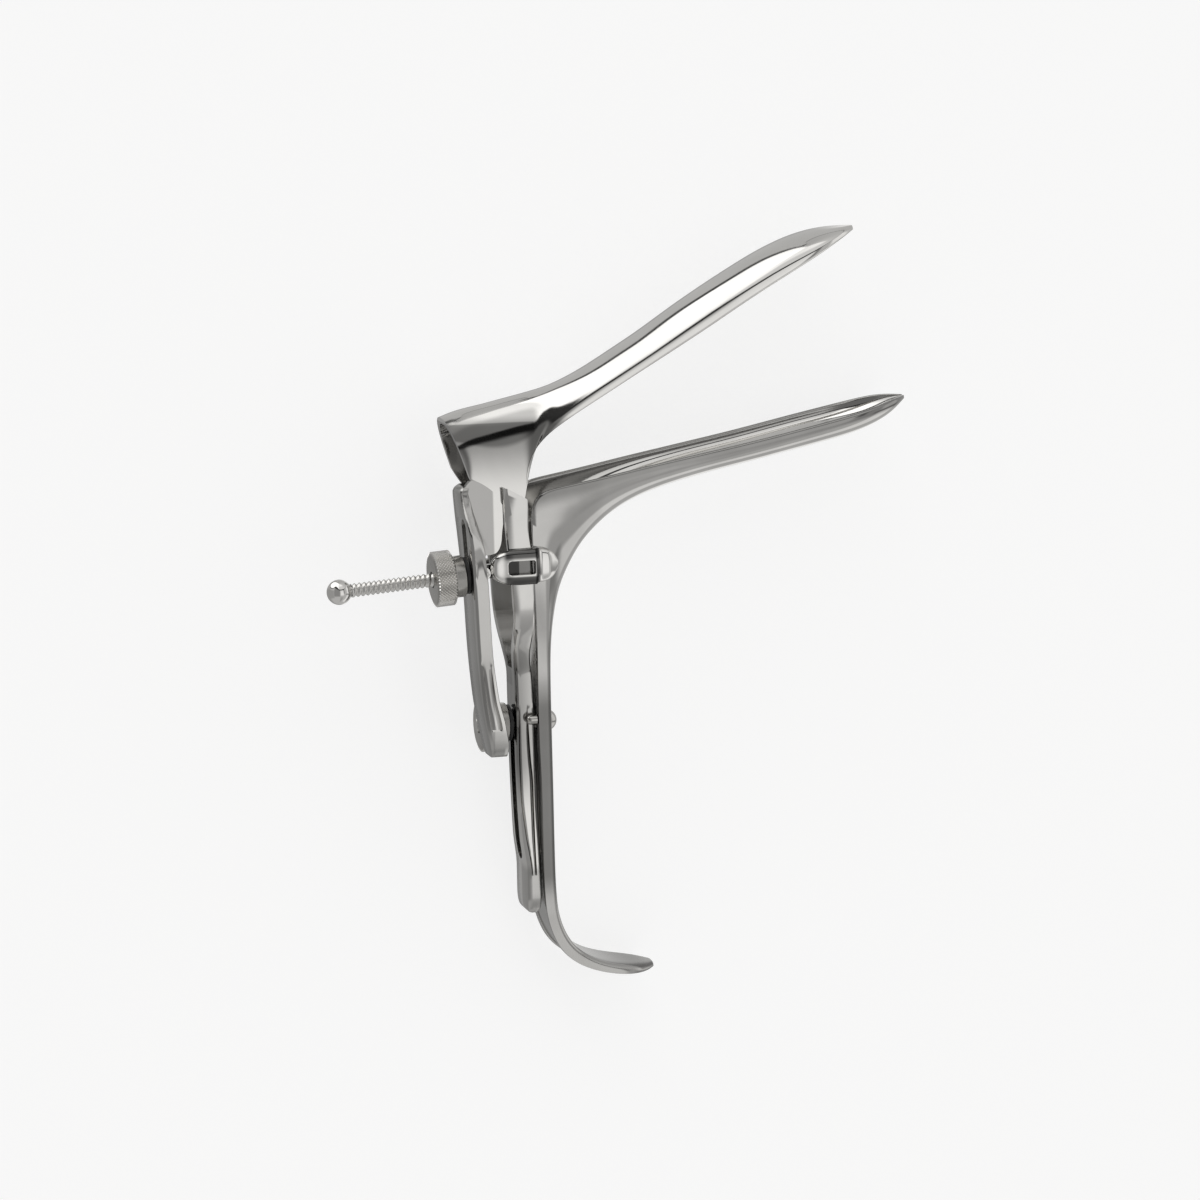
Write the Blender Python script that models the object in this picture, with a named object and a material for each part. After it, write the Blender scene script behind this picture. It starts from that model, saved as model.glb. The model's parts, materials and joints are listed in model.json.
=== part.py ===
"""Narrow bivalve speculum with a side screw, lying on its far side as it comes to rest.

The instrument is drawn in its own axes, in millimetres: X forward along the blades, Y up the handle,
Z across, towards the side with the thumb lever. One parent empty lays it on the surface.
"""

import math

import bmesh
import bpy
from mathutils import Matrix, Vector

MM = 0.001

# Clearances
FIT_GAP = 0.3
RUN_GAP = 0.4
THREAD_GAP = 0.7
CLAMP_GAP = 0.7

# Hinge of the upper blade, as X and Y
HINGE_X = -10.0
HINGE_Y = 18.0
HINGE_PIN_RADIUS = 1.3
HINGE_HEAD_RADIUS = 2.4
HINGE_HEAD_HEIGHT = 0.9
HINGE_HEAD_SETBACK = 0.35
HINGE_BLIND = 1.3
EAR_RADIUS = 4.1

# Layers across the instrument
FLANGE_HALF_WIDTH = 11.0
BLADE_WALL = 1.5
UPRIGHT_THICK = 2.2
KEEPER_WALL = 1.5

# Lower blade, handle bar and hook
HANDLE_THICK = 4.0
HANDLE_FRONT_X = 0.5
HANDLE_HALF_WIDTH = 8.4
BLADE_HALF_WIDTH = 12.3
TIP_EDGE = 1.9
HOOK_FLARE = 1.3

# Frame handle
GRIP_HALF_WIDTH = 5.25
GRIP_END_HALF_WIDTH = 6.4
GRIP_BOTTOM_Y = -97.7
GRIP_TOP_Y = -29.0
FLUTE_TOP_Y = -39.0
FLUTE_END_Y = -86.6
FLUTE_DEPTH = 1.1
SLOT_WIDTH = 4.7
SLOT_BOTTOM_Y = -83.0
SLOT_TOP_GAP = 0.6

# Handle screw and its nut
SCREW_Y = -44.6
SCREW_RADIUS = 2.0
SCREW_SHAFT_RADIUS = 1.75
SCREW_HEAD_RADIUS = 3.1
SCREW_HEAD_HEIGHT = 2.7
SCREW_TAIL = 0.8
CLAMP_COLLAR_LENGTH = 3.0
CLAMP_KNURL_LENGTH = 4.6

# Guide studs beside the frame's handle
STUD_RADIUS = 1.35
STUD_HEIGHT = 2.9
STUD_Y = -43.7

# Threaded rod and thumb nut
ROD_RADIUS = 1.9
ROD_SLOPE = 3.7
ROD_STAND_OFF = 2.0
ROD_Z = FLANGE_HALF_WIDTH + UPRIGHT_THICK + ROD_STAND_OFF
ROD_PIVOT_X = -19.95
ROD_PIVOT_Y = 0.0
ROD_LENGTH = 39.7
ROD_SPIGOT_RADIUS = 1.2
ROD_SPIGOT_LENGTH = 2.2
ROD_EYE_RADIUS = 1.85
ROD_EYE_WIDTH = 3.2
ROD_NECK = 0.6
PIVOT_PIN_RADIUS = 0.8
PIVOT_HEAD_RADIUS = 1.5
PIVOT_HEAD_HEIGHT = 0.7
BALL_RADIUS = 3.4
NUT_RADIUS = 7.55
NUT_COLLAR_RADIUS = 5.65
NUT_COLLAR_LENGTH = 3.8
NUT_KNURL_LENGTH = 4.7
NUT_EDGE = 0.6
WASHER_RADIUS = 5.0
WASHER_THICK = 0.8

# Thumb lever
LEVER_WALL = 1.5
LEVER_BOTTOM_Y = -50.3
LEVER_HOLLOW_END_Y = -40.5
LEVER_SLOT_WIDTH = 4.6
LEVER_SLOT_TOP_Y = 15.0
LEVER_SLOT_BOTTOM_Y = -5.4
ROOT_PLATE_THICK = 1.8
ROOT_STOP_GAP = 0.5

# Keepers
KEEPER_HALF_HEIGHT = 4.9
KEEPER_Y = 0.8
KEEPER_WINDOW_LENGTH = 7.6
KEEPER_WINDOW_HEIGHT = 3.9
KEEPER_WINDOW_CORNER = 0.9
KEEPER_WINDOW_MARGIN = 0.55
KEEPER_RISE = 0.7
KEEPER_MIDDLE_X = -7.8

# Where the lower blade and the hook touch the surface, as X and Y
BLADE_REST = (80.0, 35.0)
HOOK_REST = (17.5, -115.2)

# Facets
STRIP_STEP = 5.0
ROUND_SIDES = 32
SMALL_SIDES = 24


# Helpers

def clear_scene():
    for item in list(bpy.data.objects):
        bpy.data.objects.remove(item, do_unlink=True)


def steel(name, colour, roughness):
    material = bpy.data.materials.new(name)
    material.use_nodes = True
    shader = material.node_tree.nodes["Principled BSDF"]
    shader.inputs["Base Color"].default_value = (*colour, 1.0)
    shader.inputs["Metallic"].default_value = 1.0
    shader.inputs["Roughness"].default_value = roughness
    return material


def place(mesh, name, material, smooth_angle=35.0):
    item = bpy.data.objects.new(name, mesh)
    bpy.context.scene.collection.objects.link(item)
    mesh.materials.append(material)
    for face in mesh.polygons:
        face.use_smooth = True
    mesh.set_sharp_from_angle(angle=math.radians(smooth_angle))
    return item


def mesh_from(bm, name):
    bmesh.ops.remove_doubles(bm, verts=bm.verts, dist=1e-7)
    bmesh.ops.recalc_face_normals(bm, faces=bm.faces)
    mesh = bpy.data.meshes.new(name)
    bm.to_mesh(mesh)
    bm.free()
    return mesh


def loft(rings, name):
    """A closed solid through rings of points in millimetres, with flat ends."""
    bm = bmesh.new()
    rows = [[bm.verts.new(Vector(p) * MM) for p in ring] for ring in rings]
    count = len(rows[0])
    for low, high in zip(rows, rows[1:]):
        for i in range(count):
            j = (i + 1) % count
            bm.faces.new((low[i], low[j], high[j], high[i]))
    bm.faces.new(rows[0])
    bm.faces.new(list(reversed(rows[-1])))
    return mesh_from(bm, name)


def prism(outline, low, high, name, axis="Z"):
    """An outline of (a, b) points pushed between two planes."""
    def at(a, b, c):
        return (c, a, b) if axis == "X" else (a, b, c)
    return loft([[at(a, b, low) for a, b in outline], [at(a, b, high) for a, b in outline]], name)


def turned(profile, name, sides=ROUND_SIDES, bore=0.0):
    """A solid of revolution about the X axis from (x, radius) pairs, from its low X to its high X."""
    spins = [2 * math.pi * k / sides for k in range(sides)]

    def ring(x, radius):
        return [(x, radius * math.cos(spin), radius * math.sin(spin)) for spin in spins]

    rings = [ring(x, radius) for x, radius in profile]
    if not bore:
        return loft(rings, name)
    rings.append(ring(profile[-1][0], bore))
    rings.append(ring(profile[0][0], bore))
    rings.append(rings[0])
    bm = bmesh.new()
    rows = [[bm.verts.new(Vector(p) * MM) for p in ring] for ring in rings[:-1]]
    rows.append(rows[0])
    for low, high in zip(rows, rows[1:]):
        for i in range(sides):
            j = (i + 1) % sides
            bm.faces.new((low[i], low[j], high[j], high[i]))
    return mesh_from(bm, name)


def steady(keys):
    """A smooth function through (t, value) keys that doesn't overshoot between them."""
    ts = [k[0] for k in keys]
    vs = [k[1] for k in keys]
    slopes = [(b - a) / (t1 - t0) for a, b, t0, t1 in zip(vs, vs[1:], ts, ts[1:])]
    tangents = [slopes[0]]
    for before, after in zip(slopes, slopes[1:]):
        tangents.append(0.0 if before * after <= 0 else 2 * before * after / (before + after))
    tangents.append(slopes[-1])

    def value(t):
        if t <= ts[0]:
            return vs[0]
        if t >= ts[-1]:
            return vs[-1]
        i = max(k for k in range(len(ts) - 1) if ts[k] <= t)
        span = ts[i + 1] - ts[i]
        u = (t - ts[i]) / span
        a = (1 + 2 * u) * (1 - u) ** 2 * vs[i] + u * (1 - u) ** 2 * span * tangents[i]
        b = u * u * (3 - 2 * u) * vs[i + 1] + u * u * (u - 1) * span * tangents[i + 1]
        return a + b
    return value


def rounded(points, t):
    """A point on the smooth curve through (x, y) points, with t counted in points."""
    i = min(max(int(t), 0), len(points) - 2)
    u = t - i
    p1, p2 = Vector(points[i]), Vector(points[i + 1])
    p0 = Vector(points[i - 1]) if i else p1 * 2 - p2
    p3 = Vector(points[i + 2]) if i + 2 < len(points) else p2 * 2 - p1
    m1, m2 = (p2 - p0) / 2, (p3 - p1) / 2
    h = 2 * u ** 3 - 3 * u ** 2
    return (1 + h) * p1 + (u ** 3 - 2 * u ** 2 + u) * m1 - h * p2 + (u ** 3 - u ** 2) * m2


def combine(item, other, operation):
    """Applies a Boolean of one object with another, and removes the other."""
    modifier = item.modifiers.new(operation.lower(), "BOOLEAN")
    modifier.operation = operation
    modifier.solver = "EXACT"
    modifier.object = other
    bpy.context.view_layer.update()
    evaluated = item.evaluated_get(bpy.context.evaluated_depsgraph_get())
    mesh = bpy.data.meshes.new_from_object(evaluated)
    item.modifiers.clear()
    old = item.data
    item.data = mesh
    bpy.data.meshes.remove(old)
    bpy.data.objects.remove(other, do_unlink=True)
    tidy(item)


def tidy(item):
    bm = bmesh.new()
    bm.from_mesh(item.data)
    bmesh.ops.remove_doubles(bm, verts=bm.verts, dist=2e-6)
    bmesh.ops.dissolve_degenerate(bm, edges=bm.edges, dist=2e-6)
    bm.to_mesh(item.data)
    bm.free()


def loose(mesh, name="cutter"):
    item = bpy.data.objects.new(name, mesh)
    bpy.context.scene.collection.objects.link(item)
    return item


def rod_hole(radius, start, end, axis, sides=SMALL_SIDES):
    """A round cutter or pin between two points along X or Z."""
    rings = []
    for x, y, z in (start, end):
        ring = []
        for k in range(sides):
            c, s = radius * math.cos(2 * math.pi * k / sides), radius * math.sin(2 * math.pi * k / sides)
            ring.append((x, y + c, z + s) if axis == "X" else (x + c, y + s, z))
        rings.append(ring)
    return loft(rings, "round")


# Troughs: the two blades and the handle that grows out of the lower one

def trough_ring(spine, rim, half, floor, side, square, bead):
    """One closed section: outer curve, rounded rim, inner curve, rounded rim."""
    spine, rim = Vector(spine), Vector(rim)
    depth = (rim - spine).length
    way = (rim - spine) / depth
    steps = 7
    points = []

    def put(z, a):
        spot = spine + way * a
        points.append((spot.x, spot.y, z))

    angles = [math.pi / 2 * k / steps for k in range(-steps, steps + 1)]
    for angle in angles:
        s, c = math.sin(angle), max(math.cos(angle), 0.0)
        put(math.copysign(half * abs(s) ** square, s), depth * (1 - c ** square))
    for k in (1, 2, 3):
        turn = math.pi * k / 4
        put(half - side / 2 + side / 2 * math.cos(turn), depth + bead * math.sin(turn))
    inner = half - side
    for angle in reversed(angles):
        s, c = math.sin(angle), max(math.cos(angle), 0.0)
        put(math.copysign(inner * abs(s) ** square, s), floor + (depth - floor) * (1 - c ** square))
    for k in (3, 2, 1):
        turn = math.pi * k / 4
        put(-(half - side / 2 + side / 2 * math.cos(turn)), depth + bead * math.sin(turn))
    return points


def trough(stations, name, step):
    """Lofts sections through stations of (spine, rim, half width, floor, side wall, squareness, rim bead)."""
    count = len(stations) - 1
    rings = []
    fields = [steady([(i, s[k]) for i, s in enumerate(stations)]) for k in range(2, 7)]
    spines = [s[0] for s in stations]
    rims = [s[1] for s in stations]
    for i in range(count):
        length = (Vector(spines[i + 1]) - Vector(spines[i])).length
        length = max(length, (Vector(rims[i + 1]) - Vector(rims[i])).length)
        parts = max(1, round(length / step))
        for k in range(parts):
            t = i + k / parts
            rings.append(trough_ring(rounded(spines, t), rounded(rims, t), *[f(t) for f in fields]))
    rings.append(trough_ring(spines[-1], rims[-1], *[f(count) for f in fields]))
    return loft(rings, name)


def lower_stations():
    w, t = BLADE_HALF_WIDTH, BLADE_WALL
    flange = FLANGE_HALF_WIDTH
    bar, thick = HANDLE_HALF_WIDTH, HANDLE_THICK
    front = HANDLE_FRONT_X
    back = front - thick
    bead = t / 2
    return [
        ((105.3, 38.6), (105.1, 39.6), 1.3, 1.0, 1.0, 0.90, 0.25),
        ((103.3, 37.2), (102.9, 39.4), 0.42 * w, 1.8, TIP_EDGE, 0.90, 0.5),
        ((99.8, 34.8), (99.2, 38.6), 0.68 * w, 1.9, TIP_EDGE, 0.88, 0.8),
        ((94.4, 32.2), (93.5, 37.2), 0.87 * w, 1.7, TIP_EDGE, 0.86, 0.8),
        ((87.0, 29.9), (85.9, 35.6), 0.97 * w, 1.6, t + 0.2, 0.84, bead),
        ((76.0, 27.6), (74.8, 33.4), w, t, t, 0.82, bead),
        ((60.0, 24.4), (58.8, 30.3), 0.98 * w, t, t, 0.80, bead),
        ((44.0, 21.3), (42.6, 27.5), 0.96 * w, t, t, 0.80, bead),
        ((30.0, 17.6), (27.9, 25.0), 0.94 * w, t, t, 0.80, bead),
        ((20.6, 13.2), (15.7, 22.8), flange + 0.45, t, t, 0.80, bead),
        ((13.5, 7.3), (4.5, 21.0), flange + 0.2, t, t, 0.78, bead),
        ((10.5, 3.7), (-0.9, 20.1), flange, t, t, 0.76, bead),
        ((8.9, 1.3), (-3.9, 18.0), flange, t, t, 0.74, bead),
        ((6.7, -2.4), (-4.7, 11.0), flange, t + 0.1, t, 0.72, 0.2),
        ((4.5, -6.7), (-4.5, 3.0), flange, t + 0.4, t, 0.68, 0.2),
        ((2.9, -11.5), (-4.3, -5.0), 10.6, t + 1.0, t + 0.3, 0.60, 0.15),
        ((1.6, -17.5), (-3.8, -13.5), 9.7, t + 2.4, t + 1.2, 0.48, 0.1),
        ((0.8, -25.0), (back, -24.0), bar + 0.3, thick, 2.6, 0.34, 0.1),
        ((front, -34.0), (back, -34.0), bar, thick - 0.1, 2.6, 0.26, 0.1),
        ((front, -62.0), (back, -62.0), bar, thick - 0.1, 2.6, 0.26, 0.1),
        ((front, -90.0), (back, -90.0), bar, thick - 0.1, 2.6, 0.26, 0.1),
        ((1.6, -99.4), (-2.1, -100.8), bar, thick - 0.4, 2.5, 0.28, 0.1),
        ((4.6, -106.0), (1.7, -108.5), bar + 0.2, 3.2, 2.4, 0.30, 0.1),
        ((8.9, -110.1), (7.1, -112.7), bar + 0.7, 2.6, 2.2, 0.34, 0.1),
        ((14.6, -112.6), (13.8, -115.0), bar + HOOK_FLARE, 2.1, 1.9, 0.40, 0.1),
        ((20.6, -114.0), (20.3, -116.2), bar + HOOK_FLARE, 1.8, 1.6, 0.50, 0.1),
        ((25.0, -114.7), (24.9, -116.3), 0.94 * bar, 1.4, 1.2, 0.60, 0.1),
        ((27.5, -115.0), (27.5, -116.2), 0.56 * bar, 1.0, 0.9, 0.80, 0.1),
        ((28.7, -115.3), (28.7, -116.0), 1.2, 0.65, 0.5, 0.90, 0.05),
    ]


def build_lower_blade(material):
    item = place(trough(lower_stations(), "lower_blade", STRIP_STEP), "lower_blade", material)
    hole = rod_hole(SCREW_RADIUS + FIT_GAP, (-8.0, SCREW_Y, 0.0), (4.0, SCREW_Y, 0.0), "X")
    combine(item, loose(hole), "DIFFERENCE")
    return item


def upper_stations():
    w, t = BLADE_HALF_WIDTH, BLADE_WALL
    flange = FLANGE_HALF_WIDTH
    low = HINGE_Y - EAR_RADIUS
    bead = t / 2
    return [
        ((-26.9, 40.8), (-21.8, 25.4), flange + 0.2, 1.9, 1.7, 0.80, 0.3),
        ((-22.5, 42.5), (-19.2, 20.9), flange, t, t, 0.80, 0.2),
        ((-16.0, 43.6), (-14.2, low + 2.0), flange, t, t, 0.80, 0.2),
        ((-11.0, 44.7), (-10.4, low + 0.1), flange, t, t, 0.80, 0.2),
        ((-5.0, 45.9), (-7.2, low + 2.0), flange, t, t, 0.80, 0.2),
        ((-0.6, 46.8), (-6.2, 20.4), flange, t, t, 0.80, 0.3),
        ((3.4, 47.8), (-6.0, 25.9), flange, t, t, 0.80, 0.5),
        ((7.2, 49.1), (-4.2, 31.2), flange + 0.1, t, t, 0.80, bead),
        ((12.0, 51.1), (-0.2, 35.9), flange + 0.3, t, t, 0.80, bead),
        ((17.2, 53.7), (6.4, 40.4), flange + 0.5, t, t, 0.80, bead),
        ((23.6, 57.4), (18.6, 47.6), 0.95 * w, t, t, 0.82, bead),
        ((31.0, 61.8), (31.6, 55.3), 0.96 * w, t, t, 0.84, bead),
        ((41.8, 68.8), (45.2, 63.2), 0.98 * w, t, t, 0.84, bead),
        ((53.4, 75.6), (56.8, 70.2), w, t, t, 0.84, bead),
        ((65.0, 81.9), (68.3, 76.6), 0.99 * w, 1.6, t + 0.2, 0.86, bead),
        ((74.4, 85.7), (77.0, 81.2), 0.92 * w, 1.8, TIP_EDGE, 0.88, 0.8),
        ((82.0, 87.4), (83.2, 84.3), 0.74 * w, 1.9, TIP_EDGE, 0.88, 0.7),
        ((87.4, 87.8), (87.7, 85.9), 0.46 * w, 1.6, 1.7, 0.90, 0.5),
        ((90.8, 87.7), (90.8, 86.6), 1.5, 1.0, 1.0, 0.90, 0.2),
    ]


def build_upper_blade(material):
    item = place(trough(upper_stations(), "upper_blade", STRIP_STEP), "upper_blade", material)
    reach = FLANGE_HALF_WIDTH + 2.0
    hole = rod_hole(HINGE_PIN_RADIUS + FIT_GAP, (HINGE_X, HINGE_Y, -reach), (HINGE_X, HINGE_Y, reach), "Z")
    combine(item, loose(hole), "DIFFERENCE")
    return item


# Frame

REAR_X = steady([(-98.2, -7.3), (-86.0, -7.4), (-76.0, -8.4), (-64.0, -8.9), (-54.0, -9.1), (-32.0, -9.2),
                 (-20.0, -10.5), (-8.0, -11.0), (6.0, -12.2), (14.0, -12.8), (22.0, -13.0)])
FRONT_X = steady([(-98.2, -4.0), (-54.0, -3.95), (-38.0, -4.0), (-30.0, -4.5), (-24.0, -5.15), (-14.0, -5.2),
                  (-5.0, -5.25), (4.0, -5.7), (10.6, -6.4), (19.0, -6.3), (22.0, -6.3)])


def upright_outer():
    return FLANGE_HALF_WIDTH + FIT_GAP + UPRIGHT_THICK


def arm_ring(centre_y, centre_z, lean, thick, top_drop=0.0):
    """A section of the arm, flat inside and ridged outside, square to the arm's own line."""
    rear, front = REAR_X(centre_y), FRONT_X(centre_y)
    across = Vector((0.0, math.sin(lean), math.cos(lean)))
    ridge = rear + (front - rear) * steady([(-20.0, 0.34), (4.0, 0.48), (22.0, 0.14)])(centre_y)
    half = thick / 2
    outline = [
        (rear + 0.25, -half), (front - 0.25, -half), (front, -half + 0.25), (front, half - 0.55),
        (front - 0.35, half - 0.25), (ridge, half), (rear + 0.3, half - 0.45), (rear, half - 0.75),
        (rear, -half + 0.25),
    ]
    ring = []
    for x, offset in outline:
        share = max(0.0, (x - rear) / (front - rear) - 0.35) / 0.65
        spot = Vector((x, centre_y - top_drop * share ** 1.6, centre_z)) + across * offset
        ring.append(tuple(spot))
    return ring


def arm_path():
    """The arm's middle line in Y and Z, from its top to where it is buried in the handle."""
    middle = upright_outer() - UPRIGHT_THICK / 2
    return [(22.3, middle), (12.0, middle), (2.0, middle), (-6.0, middle), (-11.5, middle - 0.1),
            (-16.2, middle - 1.4), (-20.2, middle - 3.9), (-24.0, middle - 6.6), (-29.0, middle - 8.5),
            (-35.5, middle - 9.0), (-40.0, middle - 9.1)]


def build_arm(side):
    points = arm_path()
    count = len(points) - 1
    thick = UPRIGHT_THICK
    thickness = steady([(0, thick), (6, thick), (8, thick + 0.8), (count, thick + 0.6)])
    rings = []
    fine = 2
    for k in range(count * fine + 1):
        t = k / fine
        spot = rounded(points, min(t, count - 1e-6))
        ahead = rounded(points, min(t + 0.02, count - 1e-6)) - rounded(points, max(t - 0.02, 0.0))
        lean = math.atan2(-ahead.y, -ahead.x)
        drop = 3.6 if k == 0 else max(0.0, 3.6 - 1.4 * k)
        rings.append(arm_ring(spot.x, spot.y, -lean, thickness(t), drop))
    rings = [[(x, y, side * z) for x, y, z in ring] for ring in rings]
    return loft(rings, "arm")


def grip_half(y):
    return steady([(-98.2, GRIP_END_HALF_WIDTH - 3.6), (-97.4, GRIP_END_HALF_WIDTH - 2.0),
                   (-95.8, GRIP_END_HALF_WIDTH - 0.7), (-93.0, GRIP_END_HALF_WIDTH),
                   (-86.0, GRIP_END_HALF_WIDTH - 0.1), (-66.0, GRIP_HALF_WIDTH), (-38.0, GRIP_HALF_WIDTH),
                   (-29.0, GRIP_HALF_WIDTH - 0.2)])(y)


def grip_ring(y):
    """A section of the frame's handle, with a flute in each side that holds a rounded tongue."""
    rear, front, half = REAR_X(y), FRONT_X(y), grip_half(y)
    end, top = FLUTE_END_Y, FLUTE_TOP_Y
    deep = FLUTE_DEPTH * steady([(end, 0.0), (end + 0.3, 1.0), (-50.0, 0.9), (top, 0.0)])(y)
    if y <= FLUTE_END_Y:
        deep = 0.0
    width = front - rear
    lip = width * steady([(FLUTE_END_Y, 0.24), (-70.0, 0.16), (-50.0, 0.14)])(y)
    tongue = width * steady([(FLUTE_END_Y, 0.16), (-76.0, 0.24), (-62.0, 0.33), (-45.0, 0.30)])(y)
    middle = (rear + front) / 2
    crown = deep * 0.25
    side = [
        (rear, half - 0.7), (rear + 0.35, half - 0.15), (rear + lip, half), (rear + lip + 0.15, half - deep),
        (middle - tongue, half - deep), (middle - tongue * 0.6, half - crown - 0.15 * deep),
        (middle, half - crown), (middle + tongue * 0.6, half - crown - 0.15 * deep),
        (middle + tongue, half - deep), (front - lip - 0.15, half - deep), (front - lip, half),
        (front - 0.3, half - 0.15), (front, half - 0.5),
    ]
    ring = [(x, y, z) for x, z in side]
    ring += [(x, y, -z) for x, z in reversed(side)]
    return ring


def build_grip():
    rows = [GRIP_BOTTOM_Y, GRIP_BOTTOM_Y + 0.4, -97.0, -96.2, -95.0, -93.0, -90.0, FLUTE_END_Y - 0.1,
            FLUTE_END_Y + 0.35]
    y = FLUTE_END_Y + 3.0
    while y < GRIP_TOP_Y - 1.0:
        rows.append(y)
        y += 4.6
    rows.append(GRIP_TOP_Y)
    return loft([grip_ring(y) for y in rows], "grip")


def slot_outline(low, high, width, steps=8):
    """A long hole with round ends, as (along, across) points."""
    radius = width / 2
    outline = []
    for k in range(steps + 1):
        turn = math.pi * k / steps
        outline.append((high - radius + radius * math.sin(turn), radius * math.cos(turn)))
    for k in range(steps + 1):
        turn = math.pi * k / steps
        outline.append((low + radius - radius * math.sin(turn), -radius * math.cos(turn)))
    return outline


def lug_outline():
    """The ear on the near upright that carries the rod, as (x, y) points."""
    radius = PIVOT_HEAD_RADIUS + 0.35
    outline = [(-9.0, ROD_PIVOT_Y - 4.0), (-9.0, ROD_PIVOT_Y + 4.0), (-12.4, ROD_PIVOT_Y + 2.9),
               (-15.0, ROD_PIVOT_Y + radius)]
    for k in range(9):
        turn = math.pi / 2 + math.pi * k / 8
        outline.append((ROD_PIVOT_X + radius * math.cos(turn), ROD_PIVOT_Y + radius * math.sin(turn)))
    outline += [(-15.0, ROD_PIVOT_Y - radius), (-12.4, ROD_PIVOT_Y - 2.9)]
    return outline


def lug_faces():
    inner = FLANGE_HALF_WIDTH + FIT_GAP + 0.05
    return inner, ROD_Z - ROD_EYE_WIDTH / 2 - FIT_GAP


def build_frame(material):
    item = place(build_grip(), "frame", material)
    for side in (1, -1):
        combine(item, loose(build_arm(side)), "UNION")
    low, high = lug_faces()
    combine(item, loose(prism(lug_outline(), low, high, "lug")), "UNION")
    top = SCREW_Y + SCREW_RADIUS + SLOT_TOP_GAP
    outline = slot_outline(SLOT_BOTTOM_Y, top, SLOT_WIDTH)
    combine(item, loose(prism(outline, -20.0, 0.0, "slot", axis="X")), "DIFFERENCE")
    spot = (ROD_PIVOT_X, ROD_PIVOT_Y)
    hole = rod_hole(PIVOT_PIN_RADIUS + FIT_GAP, (*spot, low - 1), (*spot, high + 1), "Z", 16)
    combine(item, loose(hole), "DIFFERENCE")
    inner = FLANGE_HALF_WIDTH + FIT_GAP
    for side in (1, -1):
        start = (HINGE_X, HINGE_Y, side * (inner - 1.0))
        end = (HINGE_X, HINGE_Y, side * (inner + HINGE_BLIND + FIT_GAP))
        combine(item, loose(rod_hole(HINGE_PIN_RADIUS + FIT_GAP, start, end, "Z")), "DIFFERENCE")
    return item


# Lever

# Heights with the X of its rear face, its depth, and its near and far sides counted from the rod's line
LEVER_REAR = steady([(-51.0, -19.4), (-46.0, -20.3), (-41.0, -21.2), (-34.0, -22.2), (-20.0, -23.3),
                     (-7.0, -23.8), (0.0, -24.1), (9.0, -24.6), (18.0, -25.2), (23.5, -25.4)])
LEVER_DEPTH = steady([(-51.0, 4.4), (-46.0, 5.3), (-41.0, 5.3), (-34.0, 4.6), (-20.0, 4.1), (0.0, 4.1),
                      (8.0, 4.2), (16.0, 3.2), (23.5, 2.2)])
LEVER_NEAR = steady([(-51.0, 1.8), (-49.0, 3.8), (-46.0, 5.0), (-41.0, 5.6), (-30.0, 6.1), (0.0, 6.6),
                     (9.0, 6.2), (14.0, 4.4), (18.0, 0.4), (21.0, -1.8), (23.5, -4.2)])
LEVER_FAR = steady([(-51.0, -3.7), (-49.0, -5.6), (-46.0, -6.6), (-41.0, -6.9), (-20.0, -7.1), (-5.0, -7.4),
                    (4.0, -8.6), (10.0, -9.4), (18.0, -10.2), (21.0, -10.2), (23.5, -8.8)])
LEVER_LEAN = steady([(-2.0, 0.0), (6.0, 1.2), (12.0, 3.2), (16.0, 2.4), (20.0, 0.4), (23.5, 0.1)])


def lever_ring(y):
    """A section of the lever: rear web, a flange down each side and a flute in the near flange."""
    rear, depth = LEVER_REAR(y), LEVER_DEPTH(y)
    front = rear + depth
    near, far, lean = ROD_Z + LEVER_NEAR(y), ROD_Z + LEVER_FAR(y), LEVER_LEAN(y)
    wall, end = LEVER_WALL, LEVER_HOLLOW_END_Y
    full = steady([(end - 2.5, 1.0), (end, 0.0), (16.0, 0.0), (20.0, 1.0)])(y)
    web = wall + (depth - wall - 0.02) * full
    flute = 0.65 * steady([(-42.6, 0.0), (-42.3, 1.0), (-30.0, 0.8), (-22.5, 0.0)])(y)
    return [
        (rear, y, far + 0.5), (rear, y, near - 0.5), (rear + 0.3, y, near - 0.1),
        (rear + depth * 0.22, y, near), (rear + depth * 0.26, y, near - flute - 0.22 * lean),
        (rear + depth * 0.5, y, near - 0.35 * flute - 0.5 * lean),
        (rear + depth * 0.74, y, near - flute - 0.74 * lean),
        (rear + depth * 0.8, y, near - 0.8 * lean), (front - 0.2, y, near - lean - 0.05),
        (front, y, near - lean - 0.4), (front, y, near - lean - wall),
        (rear + web, y, near - lean - wall - 0.3),
        (rear + web, y, far + wall + 0.3), (front, y, far + wall), (front, y, far + 0.4),
        (front - 0.3, y, far), (rear + 0.3, y, far + 0.1),
    ]


def root_outline():
    """The plate between the lever and the hinge, as (x, y) points: an arc above and an arc below."""
    stop = REAR_X(HINGE_Y) - ROOT_STOP_GAP
    return [(-24.0, 4.2), (-21.0, 4.4), (-19.0, 5.2), (-17.5, 7.0), (-16.5, 9.8), (-15.2, 12.3),
            (-13.6, 14.2), (stop, 14.6), (stop, 17.9), (-14.3, 19.5), (-15.8, 21.5), (-17.8, 23.2),
            (-20.0, 24.5), (-22.0, 25.0), (-24.3, 22.5)]


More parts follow.
